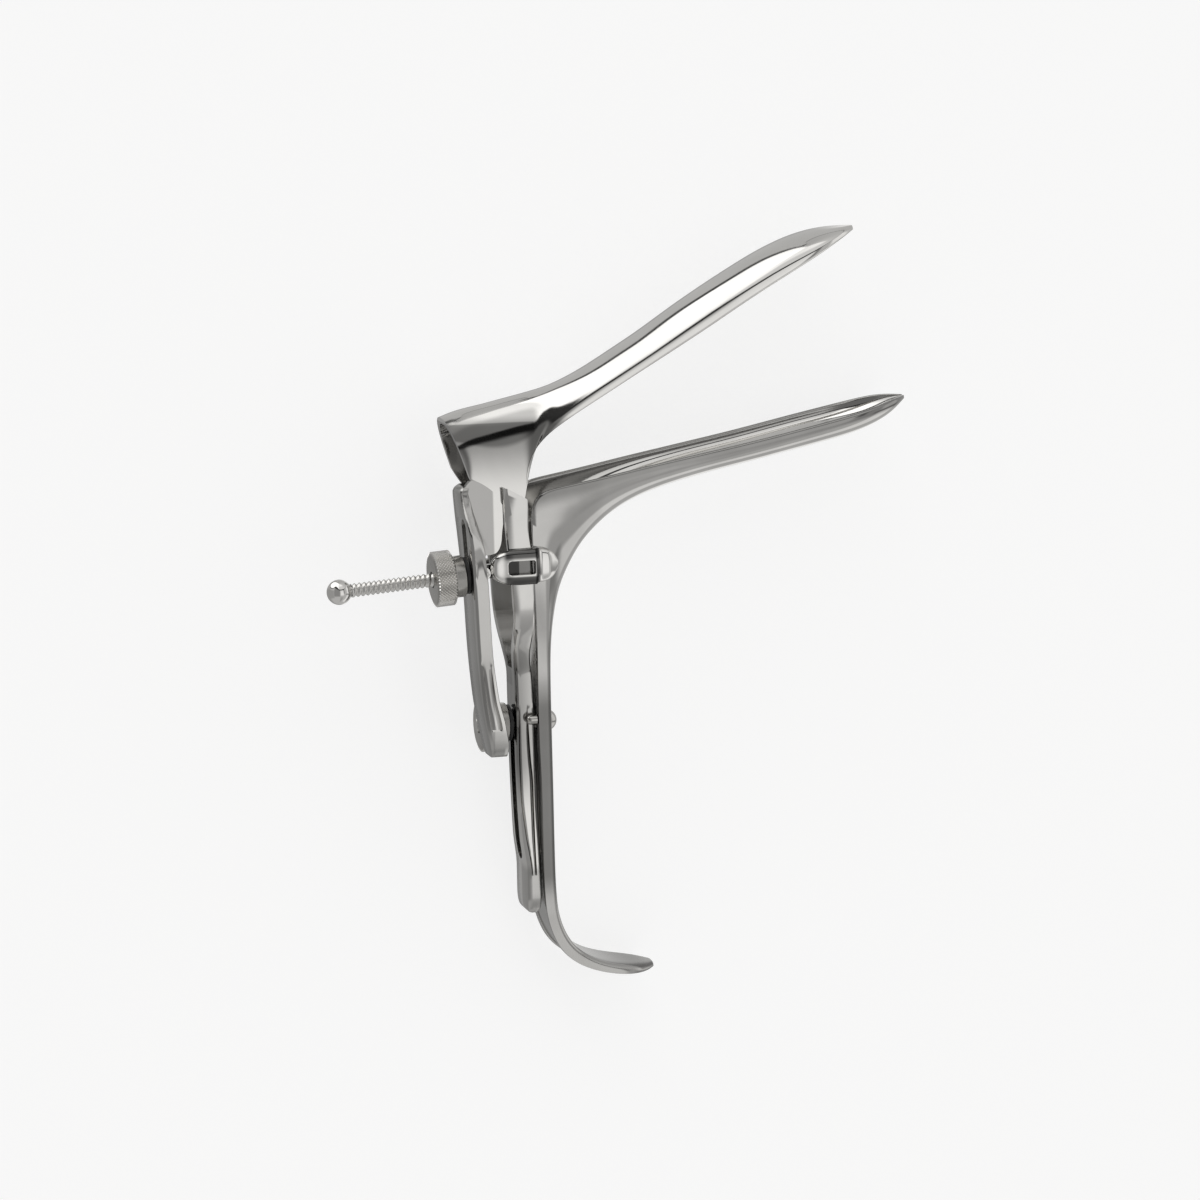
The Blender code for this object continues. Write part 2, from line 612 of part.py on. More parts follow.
def build_thumb_lever(material):
    rows = [LEVER_BOTTOM_Y, -49.9, -49.2, -48.2, -46.0, -43.4, -42.7, -42.25, -40.4, -37.0, -33.0, -28.0,
            -22.5, -17.0, -11.0, -6.0, -1.0, 3.0, 6.0, 9.0, 11.5, 14.0, 16.0, 18.0, 20.0, 21.5, 22.8, 23.5]
    item = place(loft([lever_ring(y) for y in rows], "thumb_lever"), "thumb_lever", material)
    inner = FLANGE_HALF_WIDTH + FIT_GAP
    plate = prism(root_outline(), inner, inner + ROOT_PLATE_THICK, "root")
    combine(item, loose(plate), "UNION")
    slot = slot_outline(LEVER_SLOT_BOTTOM_Y, LEVER_SLOT_TOP_Y, LEVER_SLOT_WIDTH)
    outline = [(y, z + ROD_Z) for y, z in slot]
    combine(item, loose(prism(outline, -28.0, -22.0, "lever_slot", axis="X")), "DIFFERENCE")
    return item


# Keepers

def keeper_ring(x, low, high, half, flat):
    """A section across the strap: flat inside, raised in the middle and bevelled above and below."""
    y = KEEPER_Y
    return [(x, y - half, low), (x, y + half, low), (x, y + half, low + 0.35 * (high - low)),
            (x, y + flat, high), (x, y - flat, high), (x, y - half, low + 0.35 * (high - low))]


def build_keeper(side, material):
    face = upright_outer() + FIT_GAP
    top = face + KEEPER_WALL
    foot = FLANGE_HALF_WIDTH + FIT_GAP
    half = KEEPER_HALF_HEIGHT
    leg = FRONT_X(-5.0) + KEEPER_WINDOW_MARGIN
    flat = KEEPER_WINDOW_HEIGHT / 2 + KEEPER_WINDOW_MARGIN
    rise = KEEPER_RISE
    rows = [
        (-17.6, face + 0.3, face + 0.7, 0.9, 0.5), (-17.3, face + 0.1, top - 0.5, 2.0, 1.2),
        (-16.8, face, top - 0.2, 2.9, 1.9), (-15.4, face, top, 3.7, 2.3),
        (-13.4, face, top + 0.3 * rise, 4.4, flat), (-10.8, face, top + 0.8 * rise, half, flat),
        (KEEPER_MIDDLE_X, face, top + rise, half, flat),
        (leg - 0.6, face, top + 0.9 * rise, half, flat), (leg, face, top + 0.6 * rise, half, flat),
        (leg + 0.05, foot, top + 0.5 * rise, half, flat), (leg + 0.9, foot, face + 0.4, half - 0.1, flat),
        (leg + 1.7, foot, face - 0.1, half - 0.2, flat), (leg + 3.2, foot, face, half - 0.4, flat),
        (leg + 4.9, foot, face - 0.5, half - 1.0, flat - 0.3),
        (leg + 6.1, foot, foot + 1.2, half - 2.1, flat - 0.8), (leg + 6.8, foot, foot + 0.6, half - 3.4, 0.9),
    ]
    name = "keeper_near" if side > 0 else "keeper_far"
    rings = [[(px, py, side * pz) for px, py, pz in keeper_ring(*row)] for row in rows]
    item = place(loft(rings, name), name, material, 25.0)
    right = leg - KEEPER_WINDOW_MARGIN
    left = right - KEEPER_WINDOW_LENGTH
    low, high = KEEPER_Y - KEEPER_WINDOW_HEIGHT / 2, KEEPER_Y + KEEPER_WINDOW_HEIGHT / 2
    r = KEEPER_WINDOW_CORNER
    c = 0.3 * r
    outline = [(left + r, low), (right - c, low), (right, low + c), (right, high - c), (right - c, high),
               (left + r, high), (left + c, high - c), (left, high - r), (left, low + r), (left + c, low + c)]
    cut = prism(outline, side * (face - 1.0), side * (top + rise + 1.0), "window")
    combine(item, loose(cut), "DIFFERENCE")
    return item


# Pins, studs, screws and nuts

def dome(radius, height, steps=5):
    """(height, radius) pairs of a shallow dome, from its foot to its top."""
    sphere = (radius * radius + height * height) / (2 * height)
    reach = math.asin(min(1.0, radius / sphere))
    pairs = []
    for k in range(steps + 1):
        turn = reach * (1 - k / (steps + 0.35))
        pairs.append((sphere * math.cos(turn) - (sphere - height), sphere * math.sin(turn)))
    return pairs


def turned_to(mesh, direction, spot):
    """Turns a piece made about +X to point another way and sets it down."""
    turn = Vector((1, 0, 0)).rotation_difference(Vector(direction)).to_matrix().to_4x4()
    mesh.transform(Matrix.Translation(Vector(spot) * MM) @ turn)
    return mesh


def build_hinge_pin(side, material):
    name = "hinge_pin_near" if side > 0 else "hinge_pin_far"
    inside = FLANGE_HALF_WIDTH - BLADE_WALL - HINGE_HEAD_SETBACK - FIT_GAP
    end = FLANGE_HALF_WIDTH + FIT_GAP + HINGE_BLIND
    head = HINGE_HEAD_RADIUS
    thick = HINGE_HEAD_HEIGHT
    profile = [(-thick, head - 0.6), (-thick + 0.3, head - 0.15), (-0.25, head), (0.0, head),
               (0.001, HINGE_PIN_RADIUS), (end - inside, HINGE_PIN_RADIUS)]
    mesh = turned(profile, name, SMALL_SIDES)
    return place(turned_to(mesh, (0, 0, side), (HINGE_X, HINGE_Y, side * inside)), name, material)


def build_pivot_pin(material):
    low, _ = lug_faces()
    start = low - FIT_GAP
    end = ROD_Z + ROD_EYE_WIDTH / 2 + FIT_GAP
    length = end - start
    head, thick = PIVOT_HEAD_RADIUS, PIVOT_HEAD_HEIGHT
    profile = [(-thick, head - 0.4), (-thick + 0.25, head), (0.0, head), (0.001, PIVOT_PIN_RADIUS),
               (length, PIVOT_PIN_RADIUS), (length + 0.001, head), (length + thick - 0.25, head),
               (length + thick, head - 0.4)]
    mesh = turned(profile, "rod_pivot_pin", 16)
    return place(turned_to(mesh, (0, 0, 1), (ROD_PIVOT_X, ROD_PIVOT_Y, start)), "rod_pivot_pin", material)


def rod_direction():
    slope = math.radians(ROD_SLOPE)
    return Vector((-math.cos(slope), -math.sin(slope), 0.0))


def shaft_end():
    """How far along the rod its thread ends, just inside the ball."""
    return ROD_LENGTH - BALL_RADIUS + 0.2


def build_rod(material):
    end = shaft_end()
    neck = ROD_EYE_RADIUS + ROD_NECK
    profile = [(neck - 1.4, ROD_RADIUS * 0.8), (neck, ROD_RADIUS), (end - 0.3, ROD_RADIUS),
               (end, ROD_RADIUS - 0.3), (end + 0.001, ROD_SPIGOT_RADIUS),
               (end + ROD_SPIGOT_LENGTH, ROD_SPIGOT_RADIUS)]
    mesh = turned(profile, "threaded_rod", SMALL_SIDES)
    spot = (ROD_PIVOT_X, ROD_PIVOT_Y)
    item = place(turned_to(mesh, rod_direction(), (*spot, ROD_Z)), "threaded_rod", material)
    half = ROD_EYE_WIDTH / 2
    eye = rod_hole(ROD_EYE_RADIUS, (*spot, ROD_Z - half), (*spot, ROD_Z + half), "Z", SMALL_SIDES)
    combine(item, loose(eye), "UNION")
    reach = half + 2.0
    rear, front = ROD_PIVOT_X - neck - ROD_NECK, ROD_PIVOT_X + 4.0
    for side in (1, -1):
        outline = [(rear, -4.0), (front, -4.0), (front, 4.0), (rear, 4.0)]
        flat = prism(outline, ROD_Z + side * half, ROD_Z + side * reach, "flat")
        combine(item, loose(flat), "DIFFERENCE")
    hole = rod_hole(PIVOT_PIN_RADIUS + FIT_GAP, (*spot, ROD_Z - reach), (*spot, ROD_Z + reach), "Z", 16)
    combine(item, loose(hole), "DIFFERENCE")
    return item


def build_ball(material):
    bore = ROD_SPIGOT_RADIUS + FIT_GAP
    depth = ROD_SPIGOT_LENGTH + FIT_GAP
    start = shaft_end() + FIT_GAP
    steps = 11
    profile = [(start + depth, 0.02), (start + depth, bore), (start, bore)]
    for k in range(1, steps + 1):
        turn = math.pi * k / (steps + 0.4)
        x = ROD_LENGTH - BALL_RADIUS * math.cos(turn)
        radius = BALL_RADIUS * math.sin(turn)
        if x > start + 0.05:
            profile.append((x, radius))
    mesh = turned(profile, "rod_ball", SMALL_SIDES)
    return place(turned_to(mesh, rod_direction(), (ROD_PIVOT_X, ROD_PIVOT_Y, ROD_Z)), "rod_ball", material)


def nut_profile(start, collar, knurl):
    """Collar, groove and knurled head, from the face that bears to the far face."""
    shoulder = start + collar
    return [(start, NUT_COLLAR_RADIUS - 0.3), (start + 0.3, NUT_COLLAR_RADIUS), (shoulder, NUT_COLLAR_RADIUS),
            (shoulder + 0.001, NUT_RADIUS - NUT_EDGE), (shoulder + NUT_EDGE, NUT_RADIUS),
            (shoulder + knurl - NUT_EDGE, NUT_RADIUS), (shoulder + knurl, NUT_RADIUS - NUT_EDGE)]


def lever_face():
    """How far along the rod the lever's rear face lies."""
    return ROD_PIVOT_X - LEVER_REAR(0.0)


def build_nut_washer(material):
    start = lever_face() + FIT_GAP
    profile = [(start, WASHER_RADIUS), (start + WASHER_THICK, WASHER_RADIUS)]
    mesh = turned(profile, "nut_washer", ROUND_SIDES, bore=ROD_RADIUS + FIT_GAP)
    return place(turned_to(mesh, rod_direction(), (ROD_PIVOT_X, ROD_PIVOT_Y, ROD_Z)), "nut_washer", material)


def build_thumb_nut(material):
    start = lever_face() + WASHER_THICK + 2 * FIT_GAP
    profile = nut_profile(start, NUT_COLLAR_LENGTH, NUT_KNURL_LENGTH)
    mesh = turned(profile, "thumb_nut", ROUND_SIDES, bore=ROD_RADIUS + THREAD_GAP)
    return place(turned_to(mesh, rod_direction(), (ROD_PIVOT_X, ROD_PIVOT_Y, ROD_Z)), "thumb_nut", material)


def build_clamp(washer_material, nut_material):
    spot = (0.0, SCREW_Y, 0.0)
    start = CLAMP_GAP - REAR_X(SCREW_Y)
    bore = SCREW_RADIUS + THREAD_GAP
    profile = [(start, WASHER_RADIUS), (start + WASHER_THICK, WASHER_RADIUS)]
    washer = turned(profile, "clamp_washer", ROUND_SIDES, bore)
    place(turned_to(washer, (-1, 0, 0), spot), "clamp_washer", washer_material)
    start += WASHER_THICK + FIT_GAP
    nut = turned(nut_profile(start, CLAMP_COLLAR_LENGTH, CLAMP_KNURL_LENGTH), "clamp_nut", ROUND_SIDES, bore)
    place(turned_to(nut, (-1, 0, 0), spot), "clamp_nut", nut_material)
    return start + CLAMP_COLLAR_LENGTH + CLAMP_KNURL_LENGTH + SCREW_TAIL


def build_handle_screw(reach, material):
    front = HANDLE_FRONT_X + FIT_GAP
    shaft = SCREW_SHAFT_RADIUS
    profile = [(-reach, shaft - 0.3), (-reach + 0.3, shaft), (front - 0.001, shaft),
               (front, SCREW_HEAD_RADIUS)]
    profile += [(front + h, r) for h, r in dome(SCREW_HEAD_RADIUS, SCREW_HEAD_HEIGHT)][1:]
    mesh = turned(profile, "handle_screw", SMALL_SIDES)
    return place(turned_to(mesh, (1, 0, 0), (0.0, SCREW_Y, 0.0)), "handle_screw", material)


def build_stud(side, material):
    name = "guide_stud_near" if side > 0 else "guide_stud_far"
    face = HANDLE_FRONT_X - HANDLE_THICK - 0.1 - FIT_GAP
    z = side * (GRIP_HALF_WIDTH + FIT_GAP + STUD_RADIUS)
    profile = [(0.0, STUD_RADIUS)]
    profile += [(STUD_HEIGHT - STUD_RADIUS + h, r) for h, r in dome(STUD_RADIUS, STUD_RADIUS)]
    mesh = turned(profile, name, 16)
    return place(turned_to(mesh, (-1, 0, 0), (face, STUD_Y, z)), name, material)


# Rest pose

def lay_down(items):
    """Lays the instrument on its far side: far keeper, lower blade and hook touch the surface."""
    keeper = Vector((KEEPER_MIDDLE_X, KEEPER_Y, -(upright_outer() + FIT_GAP + KEEPER_WALL + KEEPER_RISE)))
    blade = Vector((*BLADE_REST, -BLADE_HALF_WIDTH))
    hook = Vector((*HOOK_REST, -HANDLE_HALF_WIDTH - HOOK_FLARE))
    up = (blade - keeper).cross(hook - keeper).normalized()
    if up.z < 0:
        up = -up
    turn = up.rotation_difference(Vector((0, 0, 1))).to_matrix().to_4x4()
    spots = [turn @ v.co for item in items for v in item.data.vertices]
    low = Vector((min(s.x for s in spots), min(s.y for s in spots), min(s.z for s in spots)))
    high = Vector((max(s.x for s in spots), max(s.y for s in spots), max(s.z for s in spots)))
    shift = Vector((-(low.x + high.x) / 2, -(low.y + high.y) / 2, -low.z))
    rest = bpy.data.objects.new("rest_pose", None)
    bpy.context.scene.collection.objects.link(rest)
    rest.matrix_world = Matrix.Translation(shift) @ turn
    for item in items:
        item.parent = rest
    return rest


def main():
    clear_scene()
    polished = steel("polished_steel", (0.66, 0.65, 0.63), 0.14)
    satin = steel("satin_steel", (0.60, 0.59, 0.57), 0.30)
    knurled = steel("knurled_steel", (0.58, 0.57, 0.55), 0.34)
    dark = steel("dark_washer", (0.10, 0.10, 0.10), 0.5)
    build_lower_blade(polished)
    build_upper_blade(polished)
    build_frame(satin)
    build_thumb_lever(polished)
    for side in (1, -1):
        build_keeper(side, polished)
        build_hinge_pin(side, satin)
        build_stud(side, polished)
    build_pivot_pin(satin)
    build_rod(satin)
    build_ball(polished)
    build_nut_washer(dark)
    build_thumb_nut(knurled)
    reach = build_clamp(dark, knurled)
    build_handle_screw(reach, polished)
    lay_down([item for item in bpy.data.objects if item.type == "MESH"])


main()
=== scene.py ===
"""Looks for a narrow bivalve speculum with a side screw, lying on its far side on a pale surface.

The instrument is drawn in its own axes, in millimetres: X forward along the blades, Y up the handle,
Z across, towards the side with the thumb lever. The frame's own joints say how those axes lie.
"""

import json
import math

import bmesh
import bpy
import numpy as np
from mathutils import Matrix, Vector


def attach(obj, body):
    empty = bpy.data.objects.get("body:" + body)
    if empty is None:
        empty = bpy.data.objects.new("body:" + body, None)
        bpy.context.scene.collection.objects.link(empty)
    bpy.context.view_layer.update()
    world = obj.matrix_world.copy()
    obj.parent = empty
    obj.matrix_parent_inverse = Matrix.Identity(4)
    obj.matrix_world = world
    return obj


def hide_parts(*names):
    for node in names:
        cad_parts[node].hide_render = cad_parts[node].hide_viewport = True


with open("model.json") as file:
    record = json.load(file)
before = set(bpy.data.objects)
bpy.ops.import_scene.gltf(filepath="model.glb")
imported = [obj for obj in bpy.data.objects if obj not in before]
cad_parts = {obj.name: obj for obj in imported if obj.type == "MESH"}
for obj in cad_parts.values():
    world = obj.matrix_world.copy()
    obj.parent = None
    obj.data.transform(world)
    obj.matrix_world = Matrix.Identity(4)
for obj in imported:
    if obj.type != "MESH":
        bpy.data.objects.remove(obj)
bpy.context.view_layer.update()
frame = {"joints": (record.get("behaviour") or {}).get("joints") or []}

MM = 0.001

# Driving sizes, as in the part's source

FIT_GAP = 0.3
RUN_GAP = 0.4
CLAMP_GAP = 0.7
HINGE_X = -10.0
HINGE_Y = 18.0
HINGE_PIN_RADIUS = 1.3
HINGE_HEAD_RADIUS = 2.4
HINGE_HEAD_HEIGHT = 0.9
HINGE_BLIND = 1.3
EAR_RADIUS = 4.1
FLANGE_HALF_WIDTH = 11.0
BLADE_WALL = 1.5
UPRIGHT_THICK = 2.2
KEEPER_WALL = 1.5
HANDLE_THICK = 4.0
HANDLE_FRONT_X = 0.5
HANDLE_HALF_WIDTH = 8.4
BLADE_HALF_WIDTH = 12.3
TIP_EDGE = 1.9
GRIP_HALF_WIDTH = 5.25
GRIP_END_HALF_WIDTH = 6.4
GRIP_BOTTOM_Y = -97.7
GRIP_TOP_Y = -29.0
FLUTE_TOP_Y = -39.0
FLUTE_END_Y = -86.6
FLUTE_DEPTH = 1.1
SLOT_WIDTH = 4.7
SLOT_BOTTOM_Y = -83.0
SCREW_Y = -44.6
SCREW_RADIUS = 2.0
SCREW_HEAD_RADIUS = 3.1
SCREW_HEAD_HEIGHT = 2.7
SCREW_TAIL = 0.8
CLAMP_COLLAR_LENGTH = 3.0
CLAMP_KNURL_LENGTH = 4.6
STUD_RADIUS = 1.35
STUD_HEIGHT = 2.9
STUD_Y = -42.9
ROD_RADIUS = 1.9
ROD_SLOPE = 3.7
ROD_Z = 15.2
ROD_PIVOT_X = -19.95
ROD_PIVOT_Y = 0.0
ROD_LENGTH = 39.7
ROD_SPIGOT_RADIUS = 1.2
ROD_SPIGOT_LENGTH = 2.2
ROD_EYE_RADIUS = 1.85
ROD_EYE_WIDTH = 3.2
PIVOT_PIN_RADIUS = 0.8
PIVOT_HEAD_RADIUS = 1.5
PIVOT_HEAD_HEIGHT = 0.7
BALL_RADIUS = 3.4
NUT_RADIUS = 7.53
NUT_COLLAR_RADIUS = 5.65
NUT_COLLAR_LENGTH = 2.9
NUT_KNURL_LENGTH = 5.6
WASHER_RADIUS = 5.0
WASHER_THICK = 0.8
LEVER_WALL = 1.5
LEVER_BOTTOM_Y = -50.3
LEVER_HOLLOW_END_Y = -40.5
LEVER_SLOT_WIDTH = 4.6
LEVER_SLOT_TOP_Y = 15.0
LEVER_SLOT_BOTTOM_Y = -5.4
ROOT_PLATE_THICK = 1.8
KEEPER_HALF_HEIGHT = 4.9
KEEPER_Y = 0.8
KEEPER_WINDOW_LENGTH = 7.6
KEEPER_WINDOW_HEIGHT = 3.9
KEEPER_RISE = 0.7

# Sizes that only the looks have

THREAD_PITCH = 1.36
THREAD_DEPTH = 0.42
# How steep the thread's flanks are, and how much of its ridge is lost at the root
THREAD_CREST = 1.35
THREAD_ROOT = 0.15
KNURL_TEETH = 50
KNURL_ROWS = 11
KNURL_HEIGHT = 0.5
# How much of its pitch a tooth fills, how far the teeth keep from the head's edges,
# and how deep they sit in it
KNURL_SPREAD = 0.84
KNURL_MARGIN = 0.55
KNURL_SINK = 0.02
# The smooth ball, a hair smaller than the solid's, whose flats cut across its round
BALL_SKIN = 3.399
BALL_SEAT = 0.2
LUG_INSET = 0.05
ARM_TOP_DROP = 3.6
ARM_DROP_LOSS = 2.8
# How far apart the two rings of a square shoulder lie in a turned profile
SHOULDER = 0.001
# Over what length a blade's sections are evened out
RIM_SOFTENING = 3.0
LINE_DEPTH = 0.02
# Points closer than this are one: in millimetres as drawn, and in metres after a cut
WELD = 1e-4
WELD_AFTER_CUT = 2e-6

# Faces and lines that several pieces share

UPRIGHT_INNER = FLANGE_HALF_WIDTH + FIT_GAP
UPRIGHT_OUTER = UPRIGHT_INNER + UPRIGHT_THICK
HINGE_SPOT = (HINGE_X, HINGE_Y, 0.0)
SCREW_SPOT = (0.0, SCREW_Y, 0.0)
PIVOT_SPOT = (ROD_PIVOT_X, ROD_PIVOT_Y, ROD_Z)
ROD_SHAFT_END = ROD_LENGTH - BALL_RADIUS + BALL_SEAT
ROD_WAY = (-math.cos(math.radians(ROD_SLOPE)), -math.sin(math.radians(ROD_SLOPE)), 0.0)
LUG_INNER = UPRIGHT_INNER + LUG_INSET
LUG_OUTER = ROD_Z - ROD_EYE_WIDTH / 2 - FIT_GAP

# Where the instrument lies

joints = {joint["name"]: joint for joint in frame["joints"]}
ACROSS = Vector(joints["upper_blade_hinge"]["axis"]).normalized()
UPWARD = Vector(joints["frame_slide"]["axis"]).normalized()
FORWARD = UPWARD.cross(ACROSS)
TURN = Matrix((FORWARD, UPWARD, ACROSS)).transposed()
ORIGIN = Vector(joints["upper_blade_hinge"]["pos_m"]) - TURN @ (Vector(HINGE_SPOT) * MM)
LAY = Matrix.Translation(ORIGIN) @ TURN.to_4x4()


def spot(x, y, z):
    """A point of the instrument, in the scene."""
    return LAY @ (Vector((x, y, z)) * MM)


# Smooth functions

def steady(keys):
    """A smooth function through (t, value) keys that doesn't overshoot between them."""
    ts = [k[0] for k in keys]
    vs = [k[1] for k in keys]
    slopes = [(b - a) / (t1 - t0) for a, b, t0, t1 in zip(vs, vs[1:], ts, ts[1:])]
    tangents = [slopes[0]]
    for before, after in zip(slopes, slopes[1:]):
        tangents.append(0.0 if before * after <= 0 else 2 * before * after / (before + after))
    tangents.append(slopes[-1])

    def value(t):
        if t <= ts[0]:
            return vs[0]
        if t >= ts[-1]:
            return vs[-1]
        i = max(k for k in range(len(ts) - 1) if ts[k] <= t)
        span = ts[i + 1] - ts[i]
        u = (t - ts[i]) / span
        a = (1 + 2 * u) * (1 - u) ** 2 * vs[i] + u * (1 - u) ** 2 * span * tangents[i]
        b = u * u * (3 - 2 * u) * vs[i + 1] + u * u * (u - 1) * span * tangents[i + 1]
        return a + b
    return value


def rounded(points, t):
    """A point on the smooth curve through (x, y) points, with t counted in points."""
    i = min(max(int(t), 0), len(points) - 2)
    u = t - i
    p1, p2 = Vector(points[i]), Vector(points[i + 1])
    p0 = Vector(points[i - 1]) if i else p1 * 2 - p2
    p3 = Vector(points[i + 2]) if i + 2 < len(points) else p2 * 2 - p1
    m1, m2 = (p2 - p0) / 2, (p3 - p1) / 2
    h = 2 * u ** 3 - 3 * u ** 2
    return (1 + h) * p1 + (u ** 3 - 2 * u ** 2 + u) * m1 - h * p2 + (u ** 3 - u ** 2) * m2


def softened(rows, step, reach):
    """Rows of numbers taken every step along a piece, evened out over a reach, with both ends kept."""
    rows = np.array(rows, float)
    half = int(3 * reach / step)
    offsets = np.arange(-half, half + 1)
    weights = np.exp(-0.5 * (offsets * step / reach) ** 2)
    weights /= weights.sum()
    head = 2 * rows[0] - rows[half:0:-1]
    tail = 2 * rows[-1] - rows[-2:-half - 2:-1]
    padded = np.concatenate([head, rows, tail])
    result = sum(w * padded[k:k + len(rows)] for k, w in enumerate(weights))
    return result


# Making meshes

def shade(mesh, angle):
    for face in mesh.polygons:
        face.use_smooth = True
    mesh.set_sharp_from_angle(angle=math.radians(angle))


def add(mesh, name):
    item = bpy.data.objects.new(name, mesh)
    bpy.context.scene.collection.objects.link(item)
    return item


def finished(bm, name, angle=35.0):
    """A mesh in the scene's frame from one drawn in the instrument's axes, in millimetres."""
    bmesh.ops.remove_doubles(bm, verts=bm.verts, dist=WELD)
    bmesh.ops.recalc_face_normals(bm, faces=bm.faces)
    bmesh.ops.transform(bm, matrix=LAY @ Matrix.Scale(MM, 4), verts=bm.verts)
    mesh = bpy.data.meshes.new(name)
    bm.to_mesh(mesh)
    bm.free()
    shade(mesh, angle)
    return mesh


def loft(rings, name, closed=False, angle=35.0):
    """A closed solid through rings of points, with flat ends, or joined end to end if closed."""
    bm = bmesh.new()
    rows = [[bm.verts.new(Vector(p)) for p in ring] for ring in rings]
    if closed:
        rows.append(rows[0])
    count = len(rows[0])
    for low, high in zip(rows, rows[1:]):
        for i in range(count):
            j = (i + 1) % count
            bm.faces.new((low[i], low[j], high[j], high[i]))
    if not closed:
        bm.faces.new(rows[0])
        bm.faces.new(list(reversed(rows[-1])))
    return add(finished(bm, name, angle), name)


def prism(outline, low, high, name, axis="Z"):
    def at(a, b, c):
        return (c, a, b) if axis == "X" else (a, b, c)
    return loft([[at(a, b, low) for a, b in outline], [at(a, b, high) for a, b in outline]], name)


def turned(profile, name, direction, place, sides=96, bore=0.0, angle=35.0):
    """A solid of revolution from (along, radius) pairs, about a line through place."""
    along = Vector(direction).normalized()
    turn = Vector((1, 0, 0)).rotation_difference(along)
    pairs = list(profile)
    if bore:
        pairs += [(profile[-1][0], bore), (profile[0][0], bore)]
    rings = []
    for x, radius in pairs:
        ring = []
        for k in range(sides):
            a = 2 * math.pi * k / sides
            ring.append(Vector(place) + turn @ Vector((x, radius * math.cos(a), radius * math.sin(a))))
        rings.append(ring)
    return loft(rings, name, closed=bool(bore), angle=angle)


def combine(item, other, operation):
    """Applies a Boolean of one object with another, and removes the other."""
    modifier = item.modifiers.new(operation.lower(), "BOOLEAN")
    modifier.operation = operation
    modifier.solver = "EXACT"
    modifier.object = other
    settle(item)
    bpy.data.objects.remove(other, do_unlink=True)
    bm = bmesh.new()
    bm.from_mesh(item.data)
    bmesh.ops.remove_doubles(bm, verts=bm.verts, dist=WELD_AFTER_CUT)
    bmesh.ops.dissolve_degenerate(bm, edges=bm.edges, dist=WELD_AFTER_CUT)
    bm.to_mesh(item.data)
    bm.free()


def drill(item, radius, low, high, direction, place, sides=48):
    """Cuts a round hole from low to high along a line through place."""
    hole = turned([(low, radius), (high, radius)], "hole", direction, place, sides)
    combine(item, hole, "DIFFERENCE")


def climb(start, stop, step):
    """Places from start to short of stop, a step apart."""
    places = []
    while start < stop:
        places.append(start)
        start += step
    return places


def settle(item):
    """Turns an object's modifiers into plain mesh."""
    bpy.context.view_layer.update()
    evaluated = item.evaluated_get(bpy.context.evaluated_depsgraph_get())
    mesh = bpy.data.meshes.new_from_object(evaluated)
    item.modifiers.clear()
    old = item.data
    item.data = mesh
    bpy.data.meshes.remove(old)


def break_edges(item, width, segments, angle):
    """Rounds the sharp edges of a machined piece a little."""
    bevel = item.modifiers.new("broken_edges", "BEVEL")
    bevel.width = width * MM
    bevel.segments = segments
    bevel.limit_method = "ANGLE"
    bevel.angle_limit = math.radians(angle)
    bevel.use_clamp_overlap = True
    bevel.harden_normals = False
    bevel.miter_outer = "MITER_ARC"
    settle(item)
    shade(item.data, angle)


def fit(item, material, body, slot, *nodes):
    """Gives a finished piece its material, its body and the nodes that it stands for."""
    item.data.materials.clear()
    item.data.materials.append(material)
    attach(item, body)
    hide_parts(*nodes)


# Node trees and the finishes of the steel

def group(name, inputs, outputs, kind="ShaderNodeTree"):
    """A new node group, with its input and its output node."""
    tree = bpy.data.node_groups.new(name, kind)
    for label, socket_type, value in inputs:
        socket = tree.interface.new_socket(label, in_out="INPUT", socket_type=socket_type)
        socket.default_value = value
    for label, socket_type in outputs:
        tree.interface.new_socket(label, in_out="OUTPUT", socket_type=socket_type)
    return tree, tree.nodes.new("NodeGroupInput"), tree.nodes.new("NodeGroupOutput")


def feed(tree, socket, value):
    """Gives a socket a plain value, or a link from another node's socket."""
    if isinstance(value, bpy.types.NodeSocket):
        tree.links.new(value, socket)
    else:
        socket.default_value = value


def node(tree, kind, inputs=None, **settings):
    """A new node with its settings, and with its inputs given by name or number."""
    made = tree.nodes.new(kind)
    for key, value in settings.items():
        setattr(made, key, value)
    for key, value in (inputs or {}).items():
        feed(tree, made.inputs[key], value)
    return made


def math_node(tree, operation, *values):
    return node(tree, "ShaderNodeMath", dict(enumerate(values)), operation=operation).outputs[0]


def ranged(tree, value, from_low, from_high, to_low, to_high, kind="SMOOTHSTEP"):
    """A value mapped from one range to another, softly at both ends; either end may be another value."""
    inputs = {"Value": value, "From Min": from_low, "From Max": from_high, "To Min": to_low,
              "To Max": to_high}
    return node(tree, "ShaderNodeMapRange", inputs, interpolation_type=kind).outputs[0]


def drawn(tree, value, low, high, keys):
    """A smooth curve through (value, result) keys."""
    size = max(result for _, result in keys)
    share = ranged(tree, value, low, high, 0.0, 1.0, "LINEAR")
    made = node(tree, "ShaderNodeFloatCurve")
    points = made.mapping.curves[0].points
    spots = [((at - low) / (high - low), result / size) for at, result in keys]
    points[0].location = spots[0]
    points[-1].location = spots[-1]
    for at in spots[1:-1]:
        points.new(*at)
    made.mapping.update()
    tree.links.new(share, made.inputs["Value"])
    return math_node(tree, "MULTIPLY", made.outputs[0], size)


